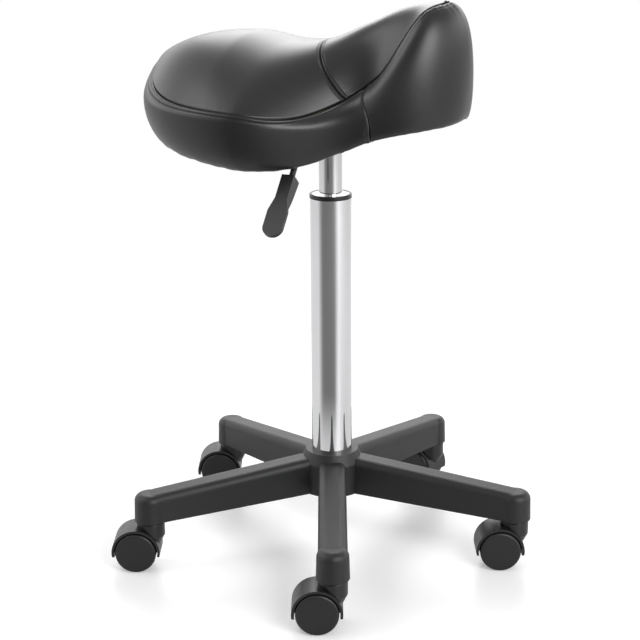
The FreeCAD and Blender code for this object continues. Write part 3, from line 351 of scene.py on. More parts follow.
def mixColour(tree, share, first, second):
    node = tree.nodes.new("ShaderNodeMix")
    node.data_type = "RGBA"
    tree.links.new(share, node.inputs["Factor"])
    for socket, value in (("A", first), ("B", second)):
        target = [item for item in node.inputs if item.name == socket and item.type == "RGBA"][0]
        if isinstance(value, tuple):
            target.default_value = value + (1,)
        else:
            tree.links.new(value, target)
    return [item for item in node.outputs if item.type == "RGBA"][0]


def addBump(tree, shader, height, strength, distance):
    bump = tree.nodes.new("ShaderNodeBump")
    bump.inputs["Strength"].default_value = strength
    bump.inputs["Distance"].default_value = distance
    tree.links.new(height, bump.inputs["Height"])
    tree.links.new(bump.outputs["Normal"], shader.inputs["Normal"])


def vinylMaterial(name, look):
    material, tree, shader = newMaterial(name)
    grain = placeGroup(tree, hideGrain,
                       Cells=look["cells"], Depth=look["depth"], Waves=look["waves"])
    veil = placeGroup(tree, dustVeil, Amount=look["dust"], Patch=18.0)
    colour = mixColour(tree, veil.outputs["Mask"], look["colour"], look["dustColour"])
    tree.links.new(colour, shader.inputs["Base Color"])
    rough = addMath(tree, "MULTIPLY_ADD", grain.outputs["Shine"], look["uneven"], look["roughness"])
    tree.links.new(rough, shader.inputs["Roughness"])
    shader.inputs["Specular IOR Level"].default_value = look["specular"]
    shader.inputs["Sheen Weight"].default_value = look["sheen"]
    shader.inputs["Sheen Roughness"].default_value = 0.45
    addBump(tree, shader, grain.outputs["Height"], look["bump"], 0.0004)
    return material


def plasticMaterial(name, look):
    material, tree, shader = newMaterial(name)
    stipple = placeGroup(tree, mouldStipple, Scale=look["scale"], Uneven=look["patch"])
    veil = placeGroup(tree, dustVeil, Amount=look["dust"], Patch=25.0)
    colour = mixColour(tree, veil.outputs["Mask"], look["colour"], look["dustColour"])
    tree.links.new(colour, shader.inputs["Base Color"])
    shine = stipple.outputs["Shine"]
    rough = addMath(tree, "MULTIPLY_ADD", shine, look["uneven"], look["roughness"])
    tree.links.new(rough, shader.inputs["Roughness"])
    shader.inputs["Specular IOR Level"].default_value = look["specular"]
    addBump(tree, shader, stipple.outputs["Height"], look["bump"], look["pit"])
    return material


def metalMaterial(name, look):
    material, tree, shader = newMaterial(name)
    marks = placeGroup(tree, rubMarks, Scale=look["scale"], Stretch=look["stretch"])
    colour = mixColour(tree, marks.outputs["Mask"], look["colour"], look["markColour"])
    tree.links.new(colour, shader.inputs["Base Color"])
    rough = addMath(tree, "MULTIPLY_ADD", marks.outputs["Mask"], look["uneven"], look["roughness"])
    tree.links.new(rough, shader.inputs["Roughness"])
    shader.inputs["Metallic"].default_value = 1.0
    addBump(tree, shader, marks.outputs["Height"], look["bump"], 0.0001)
    return material


def plyMaterial(name, look):
    # veneers show as bands through the thickness, long grain across the faces
    material, tree, shader = newMaterial(name)
    coords = tree.nodes.new("ShaderNodeTexCoord").outputs["Object"]
    mapping = tree.nodes.new("ShaderNodeMapping")
    mapping.inputs["Scale"].default_value = (1.0, 14.0, 1.0)
    tree.links.new(coords, mapping.inputs["Vector"])
    grain = addNoise(tree, mapping.outputs["Vector"], look["grain"], 5.0, 0.6)
    layers = tree.nodes.new("ShaderNodeTexWave")
    layers.bands_direction = "Z"
    layers.inputs["Scale"].default_value = look["veneers"]
    layers.inputs["Distortion"].default_value = 0.6
    tree.links.new(coords, layers.inputs["Vector"])
    share = addMath(tree, "MULTIPLY", grain, layers.outputs["Fac"])
    colour = mixColour(tree, share, look["colour"], look["darkColour"])
    tree.links.new(colour, shader.inputs["Base Color"])
    rough = addMath(tree, "MULTIPLY_ADD", grain, 0.15, look["roughness"])
    tree.links.new(rough, shader.inputs["Roughness"])
    addBump(tree, shader, grain, 0.3, 0.0003)
    return material


def feltMaterial(name, look):
    # bonded fibres: two stretched noises laid across each other
    material, tree, shader = newMaterial(name)
    coords = tree.nodes.new("ShaderNodeTexCoord").outputs["Object"]
    layers = []
    for stretch in ((1.0, 0.12, 1.0), (0.12, 1.0, 1.0)):
        mapping = tree.nodes.new("ShaderNodeMapping")
        mapping.inputs["Scale"].default_value = stretch
        mapping.inputs["Rotation"].default_value = (0, 0, look["turn"])
        tree.links.new(coords, mapping.inputs["Vector"])
        layers.append(addNoise(tree, mapping.outputs["Vector"], look["fibres"], 4.0, 0.6))
    fibres = addMath(tree, "MAXIMUM", layers[0], layers[1])
    colour = mixColour(tree, fibres, look["colour"], look["fibreColour"])
    tree.links.new(colour, shader.inputs["Base Color"])
    rough = addMath(tree, "MULTIPLY_ADD", fibres, -0.1, look["roughness"])
    tree.links.new(rough, shader.inputs["Roughness"])
    shader.inputs["Sheen Weight"].default_value = 0.3
    addBump(tree, shader, fibres, 0.6, 0.0004)
    return material


def foamMaterial(name, look):
    material, tree, shader = newMaterial(name)
    coords = tree.nodes.new("ShaderNodeTexCoord").outputs["Object"]
    pores = addCells(tree, coords, look["pores"])
    colour = mixColour(tree, pores, look["darkColour"], look["colour"])
    tree.links.new(colour, shader.inputs["Base Color"])
    cloud = addNoise(tree, coords, 20.0)
    rough = addMath(tree, "MULTIPLY_ADD", cloud, 0.1, look["roughness"])
    tree.links.new(rough, shader.inputs["Roughness"])
    addBump(tree, shader, pores, 0.8, 0.0008)
    return material


greyDust = (0.20, 0.19, 0.18)
vinylBlack = vinylMaterial("vinylBlack", {
    "colour": (0.0105, 0.0105, 0.0110), "dustColour": greyDust, "dust": 0.02,
    "roughness": 0.36, "uneven": 0.10, "specular": 0.5, "sheen": 0.04,
    "cells": 1100.0, "depth": 0.8, "waves": 0.6, "bump": 0.22})
threadBlack = plasticMaterial("threadBlack", {
    "colour": (0.024, 0.024, 0.025), "dustColour": greyDust, "dust": 0.02,
    "roughness": 0.45, "uneven": 0.1, "specular": 0.5,
    "scale": 2600.0, "patch": 40.0, "bump": 0.5, "pit": 0.0002})
basePlastic = plasticMaterial("baseNylon", {
    "colour": (0.0070, 0.0072, 0.0076), "dustColour": greyDust, "dust": 0.06,
    "roughness": 0.46, "uneven": 0.10, "specular": 0.5,
    "scale": 1250.0, "patch": 14.0, "bump": 0.55, "pit": 0.0004})
castorPlastic = plasticMaterial("castorNylon", {
    "colour": (0.0055, 0.0056, 0.0060), "dustColour": greyDust, "dust": 0.03,
    "roughness": 0.36, "uneven": 0.10, "specular": 0.5,
    "scale": 1800.0, "patch": 30.0, "bump": 0.25, "pit": 0.0003})
wheelPlastic = plasticMaterial("wheelNylon", {
    "colour": (0.0060, 0.0060, 0.0063), "dustColour": greyDust, "dust": 0.03,
    "roughness": 0.42, "uneven": 0.14, "specular": 0.5,
    "scale": 900.0, "patch": 60.0, "bump": 0.35, "pit": 0.0003})
bushPlastic = plasticMaterial("bushAcetal", {
    "colour": (0.010, 0.010, 0.010), "dustColour": greyDust, "dust": 0.03,
    "roughness": 0.30, "uneven": 0.08, "specular": 0.5,
    "scale": 2000.0, "patch": 40.0, "bump": 0.15, "pit": 0.0002})
handlePlastic = plasticMaterial("handleNylon", {
    "colour": (0.012, 0.012, 0.013), "dustColour": greyDust, "dust": 0.03,
    "roughness": 0.38, "uneven": 0.12, "specular": 0.5,
    "scale": 1600.0, "patch": 50.0, "bump": 0.30, "pit": 0.0003})
rubberBlack = plasticMaterial("bumperRubber", {
    "colour": (0.014, 0.014, 0.014), "dustColour": greyDust, "dust": 0.03,
    "roughness": 0.72, "uneven": 0.08, "specular": 0.3,
    "scale": 1100.0, "patch": 30.0, "bump": 0.4, "pit": 0.0004})
mechanismPaint = plasticMaterial("mechanismPaint", {
    "colour": (0.014, 0.014, 0.015), "dustColour": greyDust, "dust": 0.05,
    "roughness": 0.44, "uneven": 0.12, "specular": 0.5,
    "scale": 700.0, "patch": 25.0, "bump": 0.35, "pit": 0.0003})
columnChrome = metalMaterial("columnChrome", {
    "colour": (0.70, 0.70, 0.71), "markColour": (0.62, 0.62, 0.63),
    "roughness": 0.045, "uneven": 0.10, "scale": 40.0, "stretch": 10.0, "bump": 0.02})
capChrome = metalMaterial("capChrome", {
    "colour": (0.70, 0.70, 0.71), "markColour": (0.60, 0.60, 0.61),
    "roughness": 0.10, "uneven": 0.14, "scale": 60.0, "stretch": 6.0, "bump": 0.03})
steelBright = metalMaterial("steelBright", {
    "colour": (0.56, 0.56, 0.57), "markColour": (0.42, 0.42, 0.43),
    "roughness": 0.20, "uneven": 0.25, "scale": 80.0, "stretch": 12.0, "bump": 0.08})
zincSteel = metalMaterial("zincSteel", {
    "colour": (0.60, 0.61, 0.64), "markColour": (0.46, 0.47, 0.44),
    "roughness": 0.30, "uneven": 0.25, "scale": 55.0, "stretch": 3.0, "bump": 0.06})
plyWood = plyMaterial("birchPly", {
    "colour": (0.50, 0.33, 0.18), "darkColour": (0.27, 0.15, 0.07),
    "grain": 60.0, "veneers": 95.0, "roughness": 0.55})
dustFelt = feltMaterial("dustFelt", {
    "colour": (0.010, 0.010, 0.011), "fibreColour": (0.030, 0.030, 0.032),
    "turn": 0.5, "fibres": 900.0, "roughness": 0.9})
seatFoamLook = foamMaterial("seatFoamLook", {
    "colour": (0.62, 0.55, 0.34), "darkColour": (0.30, 0.25, 0.14),
    "pores": 900.0, "roughness": 0.85})

slotFinish = {
    "base_plastic": basePlastic, "castor_plastic": castorPlastic, "wheel_plastic": wheelPlastic,
    "bush_plastic": bushPlastic, "handle_plastic": handlePlastic, "column_chrome": columnChrome,
    "cap_chrome": capChrome, "steel": steelBright, "zinc_steel": zincSteel,
    "mechanism_paint": mechanismPaint, "bumper_rubber": rubberBlack, "plywood": plyWood,
    "dust_fabric": dustFelt, "foam": seatFoamLook, "vinyl": vinylBlack,
}


def dressNodes():
    for node in frame["record"]["subparts"]:
        item = frame["nodes"][node["node"]]
        item.data.materials.clear()
        item.data.materials.append(slotFinish[node["material_slot"]])


dressNodes()
print("stage: materials")


# Seat cover: a sewn vinyl skin in four panels over saddle-shaped foam

cover = {
    # plan outlines, each two arcs joined by an eased waist; along is positive towards the nose
    "bellyRear": (-0.0595, 0.1669), "bellyNose": (0.0829, 0.0888),
    "seamRear": (-0.0494, 0.1648), "seamNose": (0.0848, 0.0587),
    "rimRearInset": 0.0248, "rimNoseInset": 0.0066,
    "arcShare": 0.42, "waistShare": 0.72,
    # heights round the half outline, from the rear end to the nose
    "seamHeights": {0: 0.6149, 0.22: 0.5809, 0.42: 0.5709, 0.57: 0.5647,
                    0.72: 0.6048, 0.86: 0.6723, 1: 0.6844},
    "bellyHeights": {0: 0.5715, 0.35: 0.5640, 0.7: 0.5535, 1: 0.6044},
    "rimHeights": {0: 0.5380, 0.3: 0.5118, 0.55: 0.5054, 0.75: 0.5387, 1: 0.5522},
    # heights of the crest, from the dome to the nose
    "domeAlong": -0.0940,
    "crestHeights": {0: 0.6440, 0.22: 0.6352, 0.42: 0.6397,
                     0.62: 0.6591, 0.82: 0.6789, 1: 0.6844},
    "crownPower": 2.3, "domePower": 2.7,
    "rearSlope": 0.85, "noseSlope": 0.13, "slopeFrom": 0.42, "slopeOver": 0.4,
    # seams: the cross seam's share and curve, the join's share and lean, dips and stitch lines
    "crossSeam": 0.6445, "crossBend": 0.050, "crossRound": 0.95, "crossHook": 16,
    "joinSeam": 0.705, "joinSlant": 0.036, "leanReach": 0.26, "leanSpeed": 1.6,
    "seamDepth": 0.0022, "seamReach": 0.0034,
    "stitchOffset": 0.0072, "crossStitchOffset": 0.0034,
    "thickness": 0.0013, "underBoard": 0.001,
}


def eased(share):
    share = np.clip(share, 0, 1)
    return share * share * (3 - 2 * share)


def smoothCurve(points, at):
    # passes through each point, with slopes averaged from its neighbours
    knots = np.array(sorted(points), float)
    values = np.array([points[knot] for knot in sorted(points)], float)
    at = np.clip(np.asarray(at, float), knots[0], knots[-1])
    width = np.diff(knots)
    rise = np.diff(values) / width
    inner = (rise[:-1] * width[1:] + rise[1:] * width[:-1]) / (width[:-1] + width[1:])
    slope = np.concatenate([rise[:1], inner, rise[-1:]])
    cell = np.clip(np.searchsorted(knots, at) - 1, 0, len(knots) - 2)
    t = (at - knots[cell]) / width[cell]
    back = 1 - t
    return ((1 + 2 * t) * back ** 2 * values[cell] + t * back ** 2 * width[cell] * slope[cell]
            + t * t * (3 - 2 * t) * values[cell + 1]
            - t * t * back * width[cell] * slope[cell + 1])


def planOutline(share, rear, nose):
    # half outline from the rear end (share 0) to the nose (share 1), as along and sideways
    share = np.asarray(share, float)
    (rearAt, rearRadius), (noseAt, noseRadius) = rear, nose
    first, second = cover["arcShare"], cover["waistShare"]
    rearTurn = math.pi - np.clip(share / first, 0, 1) * math.pi / 2
    waist = np.clip((share - first) / (second - first), 0, 1)
    noseTurn = math.pi / 2 * (1 - np.clip((share - second) / (1 - second), 0, 1))
    waistSide = noseRadius + (rearRadius - noseRadius) * (1 + np.cos(math.pi * waist)) / 2
    along = np.where(share < first, rearAt + rearRadius * np.cos(rearTurn),
                     np.where(share > second, noseAt + noseRadius * np.cos(noseTurn),
                              rearAt + (noseAt - rearAt) * waist))
    side = np.where(share < first, rearRadius * np.sin(rearTurn),
                    np.where(share > second, noseRadius * np.sin(noseTurn), waistSide))
    return along, side


def halfWidth(along, rear, nose):
    (rearAt, rearRadius), (noseAt, noseRadius) = rear, nose
    waist = np.clip((along - rearAt) / (noseAt - rearAt), 0, 1)
    middle = noseRadius + (rearRadius - noseRadius) * (1 + np.cos(math.pi * waist)) / 2
    rearPart = np.sqrt(np.maximum(rearRadius ** 2 - (along - rearAt) ** 2, 0))
    nosePart = np.sqrt(np.maximum(noseRadius ** 2 - (along - noseAt) ** 2, 0))
    return np.where(along < rearAt, rearPart, np.where(along > noseAt, nosePart, middle))


def crestHeight(along):
    rearTip = cover["seamRear"][0] - cover["seamRear"][1]
    noseTip = cover["seamNose"][0] + cover["seamNose"][1]
    dome = cover["domeAlong"]
    fall = np.clip((dome - along) / (dome - rearTip), 0, 1)
    seamEnd = cover["seamHeights"][0]
    rearPart = seamEnd + (cover["crestHeights"][0] - seamEnd) * (1 - fall ** cover["domePower"])
    return np.where(along < dome, rearPart,
                    smoothCurve(cover["crestHeights"], (along - dome) / (noseTip - dome)))


outlineShares = np.linspace(0, 1, 600)
outlineAlong = planOutline(outlineShares, cover["seamRear"], cover["seamNose"])[0]


def crossShape(across):
    bent = cover["crossRound"]
    return bent * across ** 2 + (1 - bent) * np.abs(across) ** cover["crossHook"]


def topRow(share, across):
    # one line across the top panel; the lines bend towards the cross seam's curve
    edge = planOutline(share, cover["seamRear"], cover["seamNose"])[0]
    cross = cover["crossSeam"]
    pull = np.where(share < cross, eased(share / cross), 1 - eased((share - cross) / (1 - cross)))
    along = edge - cover["crossBend"] * pull * (1 - crossShape(across))
    side = across * halfWidth(along, cover["seamRear"], cover["seamNose"])
    seam = smoothCurve(cover["seamHeights"], np.interp(along, outlineAlong, outlineShares))
    rise = crestHeight(along) - seam
    height = seam + rise * (1 - np.abs(across) ** cover["crownPower"])
    return np.stack([side, -along, height], -1)


board = {
    "bottom": 0.5408, "flatReach": 0.062, "bendRadius": 0.190,
    "rear": (-0.057, 0.132), "nose": (0.089, 0.050), "margin": 0.0035,
}


def boardUnderside(along):
    # flat at the rear, then bent up towards the nose
    past = np.maximum(along - board["flatReach"], 0)
    radius = board["bendRadius"]
    return board["bottom"] + radius - np.sqrt(np.maximum(radius ** 2 - past ** 2, 1e-6))


def bandLine(share, samples=160):
    # from the perimeter seam out to the belly, round the rim and up to the board's edge
    seamAlong, seamSide = planOutline(share, cover["seamRear"], cover["seamNose"])
    bellyAlong, bellySide = planOutline(share, cover["bellyRear"], cover["bellyNose"])
    rearInset, noseInset = cover["rimRearInset"], cover["rimNoseInset"]
    rimAlong, rimSide = planOutline(
        share, (cover["bellyRear"][0], cover["bellyRear"][1] - rearInset),
        (cover["bellyNose"][0], cover["bellyNose"][1] - noseInset))
    edgeAlong, edgeSide = planOutline(
        share, (board["rear"][0], board["rear"][1] + board["margin"]),
        (board["nose"][0], board["nose"][1] + board["margin"]))
    seam = smoothCurve(cover["seamHeights"], share)
    belly = smoothCurve(cover["bellyHeights"], share)
    rim = smoothCurve(cover["rimHeights"], share)
    slope = cover["rearSlope"] + (cover["noseSlope"] - cover["rearSlope"]) * eased(
        (share - cover["slopeFrom"]) / cover["slopeOver"])
    reach = math.hypot(bellyAlong - seamAlong, bellySide - seamSide)
    bulge = max(seam - slope * reach, belly + (seam - belly) / 3)
    t = np.linspace(0, 1, samples)
    first, second, third = (1 - t) ** 2, 2 * t * (1 - t), t * t
    upper = np.stack([seamSide * first + bellySide * (second + third),
                      -(seamAlong * first + bellyAlong * (second + third)),
                      seam * first + bulge * second + belly * third], -1)
    turn = t * math.pi / 2
    sink, stay = np.sin(turn), np.cos(turn)
    lower = np.stack([rimSide + (bellySide - rimSide) * stay,
                      -(rimAlong + (bellyAlong - rimAlong) * stay),
                      belly + (rim - belly) * sink], -1)
    under = boardUnderside(edgeAlong) - cover["underBoard"]
    inner = np.stack([rimSide + (edgeSide - rimSide) * sink,
                      -(rimAlong + (edgeAlong - rimAlong) * sink),
                      rim + (under - rim) * (1 - stay)], -1)
    return np.concatenate([upper, lower[1:], inner[1:]])


def runLength(line):
    return np.concatenate([[0], np.cumsum(np.linalg.norm(np.diff(line, axis=0), axis=1))])


def respaced(line, targets):
    length = runLength(line)
    return np.stack([np.interp(targets, length, line[:, k]) for k in range(3)], -1)


# the mesh net: line places beside a seam, then the counts between them
fineSteps = np.array([0, 0.35, 0.8, 1.3, 1.9, 2.5, 3.0, 3.6, 4.3, 5.1,
                      6.0, 6.6, 7.2, 7.8, 8.6, 9.8, 11.4]) / 1000
net = {
    "crossStep": 0.0017, "joinStep": 0.0021,
    "endShare": 0.16, "endLines": 40, "lobeLines": 64,
    "tipShare": 0.9, "hornLines": 34, "tipLines": 30,
    "topColumns": 44, "topSamples": 500,
    "bandLines": 360, "bandRows": 60, "leanLine": 200,
    "lobeBandLines": 90, "hornBandLines": 50, "sideColumn": 20,
}


def spacedFromSeam(total, coarse, bothEnds):
    # close together beside a seam, wider in between
    fine = fineSteps * min(1.0, total / (5 if bothEnds else 3) / fineSteps[-1])
    if bothEnds:
        middle = np.linspace(fine[-1], total - fine[-1], coarse + 2)[1:-1]
        return np.concatenate([fine, middle, (total - fine)[::-1]])
    return np.concatenate([fine, np.linspace(fine[-1], total, coarse + 1)[1:]])


def surfaceNormals(grid):
    down = np.gradient(grid, axis=0)
    over = np.gradient(grid, axis=1)
    normal = np.cross(down, over)
    length = np.linalg.norm(normal, axis=-1, keepdims=True)
    return normal / np.maximum(length, 1e-12)


def seamDip(distance):
    # the panel's edge rolls down into the seam
    near = np.clip(1 - distance / cover["seamReach"], 0, 1)
    return -cover["seamDepth"] * near ** 2


relief = {
    # raised allowance between seam and stitch line, and the narrow dip under the thread
    "raise": 0.00035, "raiseStart": 0.002, "raisePast": 0.0012, "raiseFade": 0.0016,
    "dip": 0.0012, "dipWidth": 0.0008, "cornerFade": 0.004, "hornShare": 0.25,
    # how deep the join is at the perimeter seam, and what it gains on its way down
    "joinTop": 0.3, "joinGain": 0.35, "joinSpeed": 1.6,
    # small gathers: depth, reach and seed
    "crossPuckers": (0.00010, 0.008, 1.3), "topPuckers": (0.00016, 0.009, 2.2),
    "lobePuckers": (0.00018, 0.010, 4.1), "hornPuckers": (0.00032, 0.010, 4.1),
    "joinPuckers": (0.0002, 0.008, 0.7), "otherSide": 0.3,
    # folds where the skin is pulled under the board: start, height
    "lobeFolds": (0.56, 0.0004), "hornFolds": (0.82, 0.0010), "foldsOver": 0.14,
    "hangHeight": 0.0020, "hangReach": 0.007, "hangAt": 0.62, "hangWidth": 0.06,
}


def stitchBed(distance, offset):
    raised = (relief["raise"] * np.clip(distance / relief["raiseStart"], 0, 1)
              * np.clip((offset + relief["raisePast"] - distance) / relief["raiseFade"], 0, 1))
    return raised - relief["dip"] * np.exp(-((distance - offset) / relief["dipWidth"]) ** 2)


def puckers(run, distance, depth, reach, seed):
    # small gathers that fade away from the seam
    wave = (np.sin(run * 610 + seed) + 0.7 * np.sin(run * 940 + 2.1 * seed)
            + 0.5 * np.sin(run * 1510 + 3.7 * seed))
    patch = 0.5 + 0.5 * np.sin(run * 47 + seed * 5)
    return depth * wave * patch * np.exp(-distance / reach)


def wrapFolds(name, run, edge, toJoin):
    # creases all round the underside, crumpled below the nose, and a fold that hangs at the join
    down = edge / edge[:, -1:]
    start, height = relief["lobeFolds"] if name == "lobeBand" else relief["hornFolds"]
    wrapped = eased((down - start) / relief["foldsOver"])
    wave = np.sin(run * 210 + 2 * np.sin(run * 63)) + 0.6 * np.sin(run * 377 + 1.2 + 9 * down)
    if name == "hornBand":
        return height * np.abs(wave) ** 0.7 * np.sign(wave) * wrapped
    hang = (relief["hangHeight"] * np.exp(-(toJoin / relief["hangReach"]) ** 2)
            * np.exp(-((down - relief["hangAt"]) / relief["hangWidth"]) ** 2))
    return height * wave * wrapped + hang


def gridPiece(name, grid, material, flip):
    rows, columns = grid.shape[:2]
    faces = []
    for i in range(rows - 1):
        for j in range(columns - 1):
            corner, below = i * columns + j, (i + 1) * columns + j
            face = (corner, corner + 1, below + 1, below)
            faces.append(face[::-1] if flip else face)
    mesh = bpy.data.meshes.new(name)
    mesh.from_pydata(grid.reshape(-1, 3).tolist(), [], faces)
    mesh.validate()
    mesh.polygons.foreach_set("use_smooth", [True] * len(mesh.polygons))
    mesh.materials.append(material)
    piece = bpy.data.objects.new(name, mesh)
    scene.collection.objects.link(piece)
    return piece


def makeTopGrid():
    cross, end, tip = cover["crossSeam"], net["endShare"], net["tipShare"]
    fine = fineSteps * 1000 * net["crossStep"]
    rearShares = np.concatenate([
        (1 - np.cos(np.linspace(0, math.pi / 2, net["endLines"])[:-1])) * end,
        np.linspace(end, cross - fine[-1], net["lobeLines"])[:-1], (cross - fine)[::-1]])
    noseShares = np.concatenate([
        cross + fine, np.linspace(cross + fine[-1], tip, net["hornLines"])[1:-1],
        tip + (1 - tip) * np.sin(np.linspace(0, math.pi / 2, net["tipLines"]))])
    across = np.sin(np.linspace(-math.pi / 2, math.pi / 2, net["topSamples"]))
    halves = []
    for shares in (rearShares, noseShares):
        grid, edgeDistance = [], []
        for share in shares:
            line = topRow(share, across)
            total = runLength(line)[-1]
            targets = spacedFromSeam(total, net["topColumns"], True)
            grid.append(respaced(line, targets))
            edgeDistance.append(np.minimum(targets, total - targets))
        halves.append((np.array(grid), np.array(edgeDistance)))
    return halves


def makeTopPanels():
    (lobe, lobeEdge), (horn, hornEdge) = makeTopGrid()
    panels = []
    for name, grid, edge, crossRow in (("lobePanel", lobe, lobeEdge, -1),
                                       ("hornPanel", horn, hornEdge, 0)):
        normals = surfaceNormals(grid)
        if normals[len(grid) // 2, grid.shape[1] // 2, 2] < 0:
            normals = -normals
        lengths = [runLength(grid[:, j]) for j in range(grid.shape[1])]
        toCross = np.stack([np.abs(length - length[crossRow]) for length in lengths], 1)
        run = np.stack([runLength(row) for row in grid])
        inner = np.clip(edge / relief["cornerFade"], 0, 1)
        lift = np.minimum(seamDip(edge), seamDip(toCross))
        lift = lift + stitchBed(toCross, cover["crossStitchOffset"]) * inner
        lift = lift + puckers(run, toCross, *relief["crossPuckers"]) * inner
        along = lengths[0][:, None] + np.sign(grid[..., 0]) * relief["otherSide"]
        lift = lift + puckers(along, edge, *relief["topPuckers"])
        panels.append((name, grid + normals * lift[..., None], toCross))
    return panels


def bandSheet():
    # the whole half band on an even net, to be read between its lines
    shares = np.linspace(0, 1, net["bandLines"])
    sheet, lengths = [], []
    for share in shares:
        line = bandLine(share)
        coarse = net["bandRows"] - len(fineSteps) + 1
        targets = spacedFromSeam(runLength(line)[-1], coarse, False)
        sheet.append(respaced(line, targets))
        lengths.append(targets)
    return shares, np.array(sheet), np.array(lengths)


def makeBandPanels():
    join = cover["joinSeam"]
    fine = fineSteps * 1000 * net["joinStep"]
    rear = np.concatenate([np.linspace(0, join - fine[-1], net["lobeBandLines"])[:-1],
                           (join - fine)[::-1]])
    front = np.concatenate([join + fine,
                            np.linspace(join + fine[-1], 1, net["hornBandLines"])[1:]])
    sheetShares, sheet, lengths = bandSheet()
    columns = sheet.shape[1]
    downs = eased(lengths[net["leanLine"]] / lengths[net["leanLine"], -1] * cover["leanSpeed"])
    panels = []
    for name, shares in (("lobeBand", rear), ("hornBand", front)):
        near = np.zeros((len(shares), columns, 3))
        distance = np.zeros((len(shares), columns))
        window = eased(np.clip(1 - np.abs(shares - join) / cover["leanReach"], 0, 1))
        for j in range(columns):
            # the join leans towards the nose on its way down
            leaned = shares + cover["joinSlant"] * (downs[j] - 0.5) * window
            for k in range(3):
                near[:, j, k] = np.interp(leaned, sheetShares, sheet[:, j, k])
            distance[:, j] = np.interp(leaned, sheetShares, lengths[:, j])
        mirror = near * np.array([-1, 1, 1])
        if name == "lobeBand":
            grid = np.concatenate([near[::-1], mirror[1:]])
            edge = np.concatenate([distance[::-1], distance[1:]])
        else:
            grid = np.concatenate([near, mirror[::-1][1:]])
            edge = np.concatenate([distance, distance[::-1][1:]])
        grid[..., 0] *= -1
        panels.append((name, grid, edge))
    return panels


def shapeBand(name, grid, edge):
    normals = surfaceNormals(grid)
    centre = grid.reshape(-1, 3).mean(0)
    side = net["sideColumn"]
    if ((grid[:, side] - centre) * normals[:, side]).sum() < 0:
        normals = -normals
    along = np.stack([runLength(grid[:, j]) for j in range(grid.shape[1])], 1)
    toJoin = np.minimum(along, along[-1:] - along)
    run = along[:, :1]
    down = edge / edge[:, -1:]
    # the join is flat below the perimeter seam and deepens on its way down
    joinShare = relief["joinTop"] + relief["joinGain"] * eased(down * relief["joinSpeed"])
    lift = np.minimum(seamDip(edge), seamDip(toJoin) * joinShare)
    bed = stitchBed(edge, cover["stitchOffset"])
    gathers = relief["lobePuckers"]
    if name == "hornBand":
        bed = bed * relief["hornShare"]
        gathers = relief["hornPuckers"]
    lift = lift + bed * np.clip(toJoin / relief["cornerFade"], 0, 1)
    lift = lift + puckers(run, edge, *gathers)
    lift = lift + puckers(edge, toJoin, *relief["joinPuckers"])
    lift = lift + wrapFolds(name, run, edge, toJoin)
    return grid + normals * lift[..., None]


def thicken(piece, depth):
    solid = piece.modifiers.new("wall", "SOLIDIFY")
    solid.thickness = depth
    solid.offset = -1
    depsgraph = bpy.context.evaluated_depsgraph_get()
    mesh = bpy.data.meshes.new_from_object(piece.evaluated_get(depsgraph))
    piece.modifiers.clear()
    piece.data = mesh


def facesOut(grid, aim):
    # true when the first winding of the grid's faces points along aim
    rows, columns = grid.shape[0] // 2, grid.shape[1] // 2
    over = grid[rows, columns + 1] - grid[rows, columns]
    down = grid[rows + 1, columns] - grid[rows, columns]
    return float(np.dot(np.cross(over, down), aim)) > 0


def makeCover():
    pieces = {}
    lines = {}
    for name, grid, toCross in makeTopPanels():
        upward = np.array([0, 0, 1.0])
        piece = gridPiece(name, grid, vinylBlack, flip=not facesOut(grid, upward))
        thicken(piece, cover["thickness"])
        pieces[name] = piece
        middle = toCross[:, grid.shape[1] // 2]
        row = int(np.argmin(np.abs(middle - cover["crossStitchOffset"])))
        lines[name] = grid[row, 9:-9]
    for name, grid, edge in makeBandPanels():
        shaped = shapeBand(name, grid, edge)
        middle = len(shaped) // 2
        outward = shaped[middle, net["sideColumn"]] * np.array([1, 1, 0])
        piece = gridPiece(name, shaped, vinylBlack, flip=not facesOut(shaped, outward))
        thicken(piece, cover["thickness"])
        pieces[name] = piece
        if name == "lobeBand":
            column = int(np.argmin(np.abs(edge[middle] - cover["stitchOffset"])))
            lines[name] = shaped[4:-4, column]
    return pieces, lines


coverPieces, stitchLines = makeCover()
print("stage: cover panels")


foam = {
    "gap": 0.0070, "endShare": 0.16, "endLines": 20, "lines": 90,
    "samples": 60, "columns": 46, "across": 25, "weld": 1e-5,
}


def foamFaces(rings, lines, columns, across, topStarts):
    # the side bands, the crown between them and one face under the board
    faces = []
    for i in range(rings):
        after = (i + 1) % rings
        for j in range(columns - 1):
            corner, beyond = i * columns + j, after * columns + j
            faces.append((corner, corner + 1, beyond + 1, beyond))

    def crownPoint(i, j):
        if i == 0:
            return 0
        if i == lines - 1:
            return (lines - 1) * columns
        if j == 0:
            return (rings - i) * columns
        if j == across - 1:
            return i * columns
        return topStarts[i - 1] + j - 1

    for i in range(lines - 1):
        for j in range(across - 1):
            corners = [crownPoint(i, j), crownPoint(i, j + 1),
                       crownPoint(i + 1, j + 1), crownPoint(i + 1, j)]
            unique = list(dict.fromkeys(corners))
            if len(unique) > 2:
                faces.append(tuple(unique))
    faces.append(tuple(i * columns + columns - 1 for i in range(rings)))
    return faces


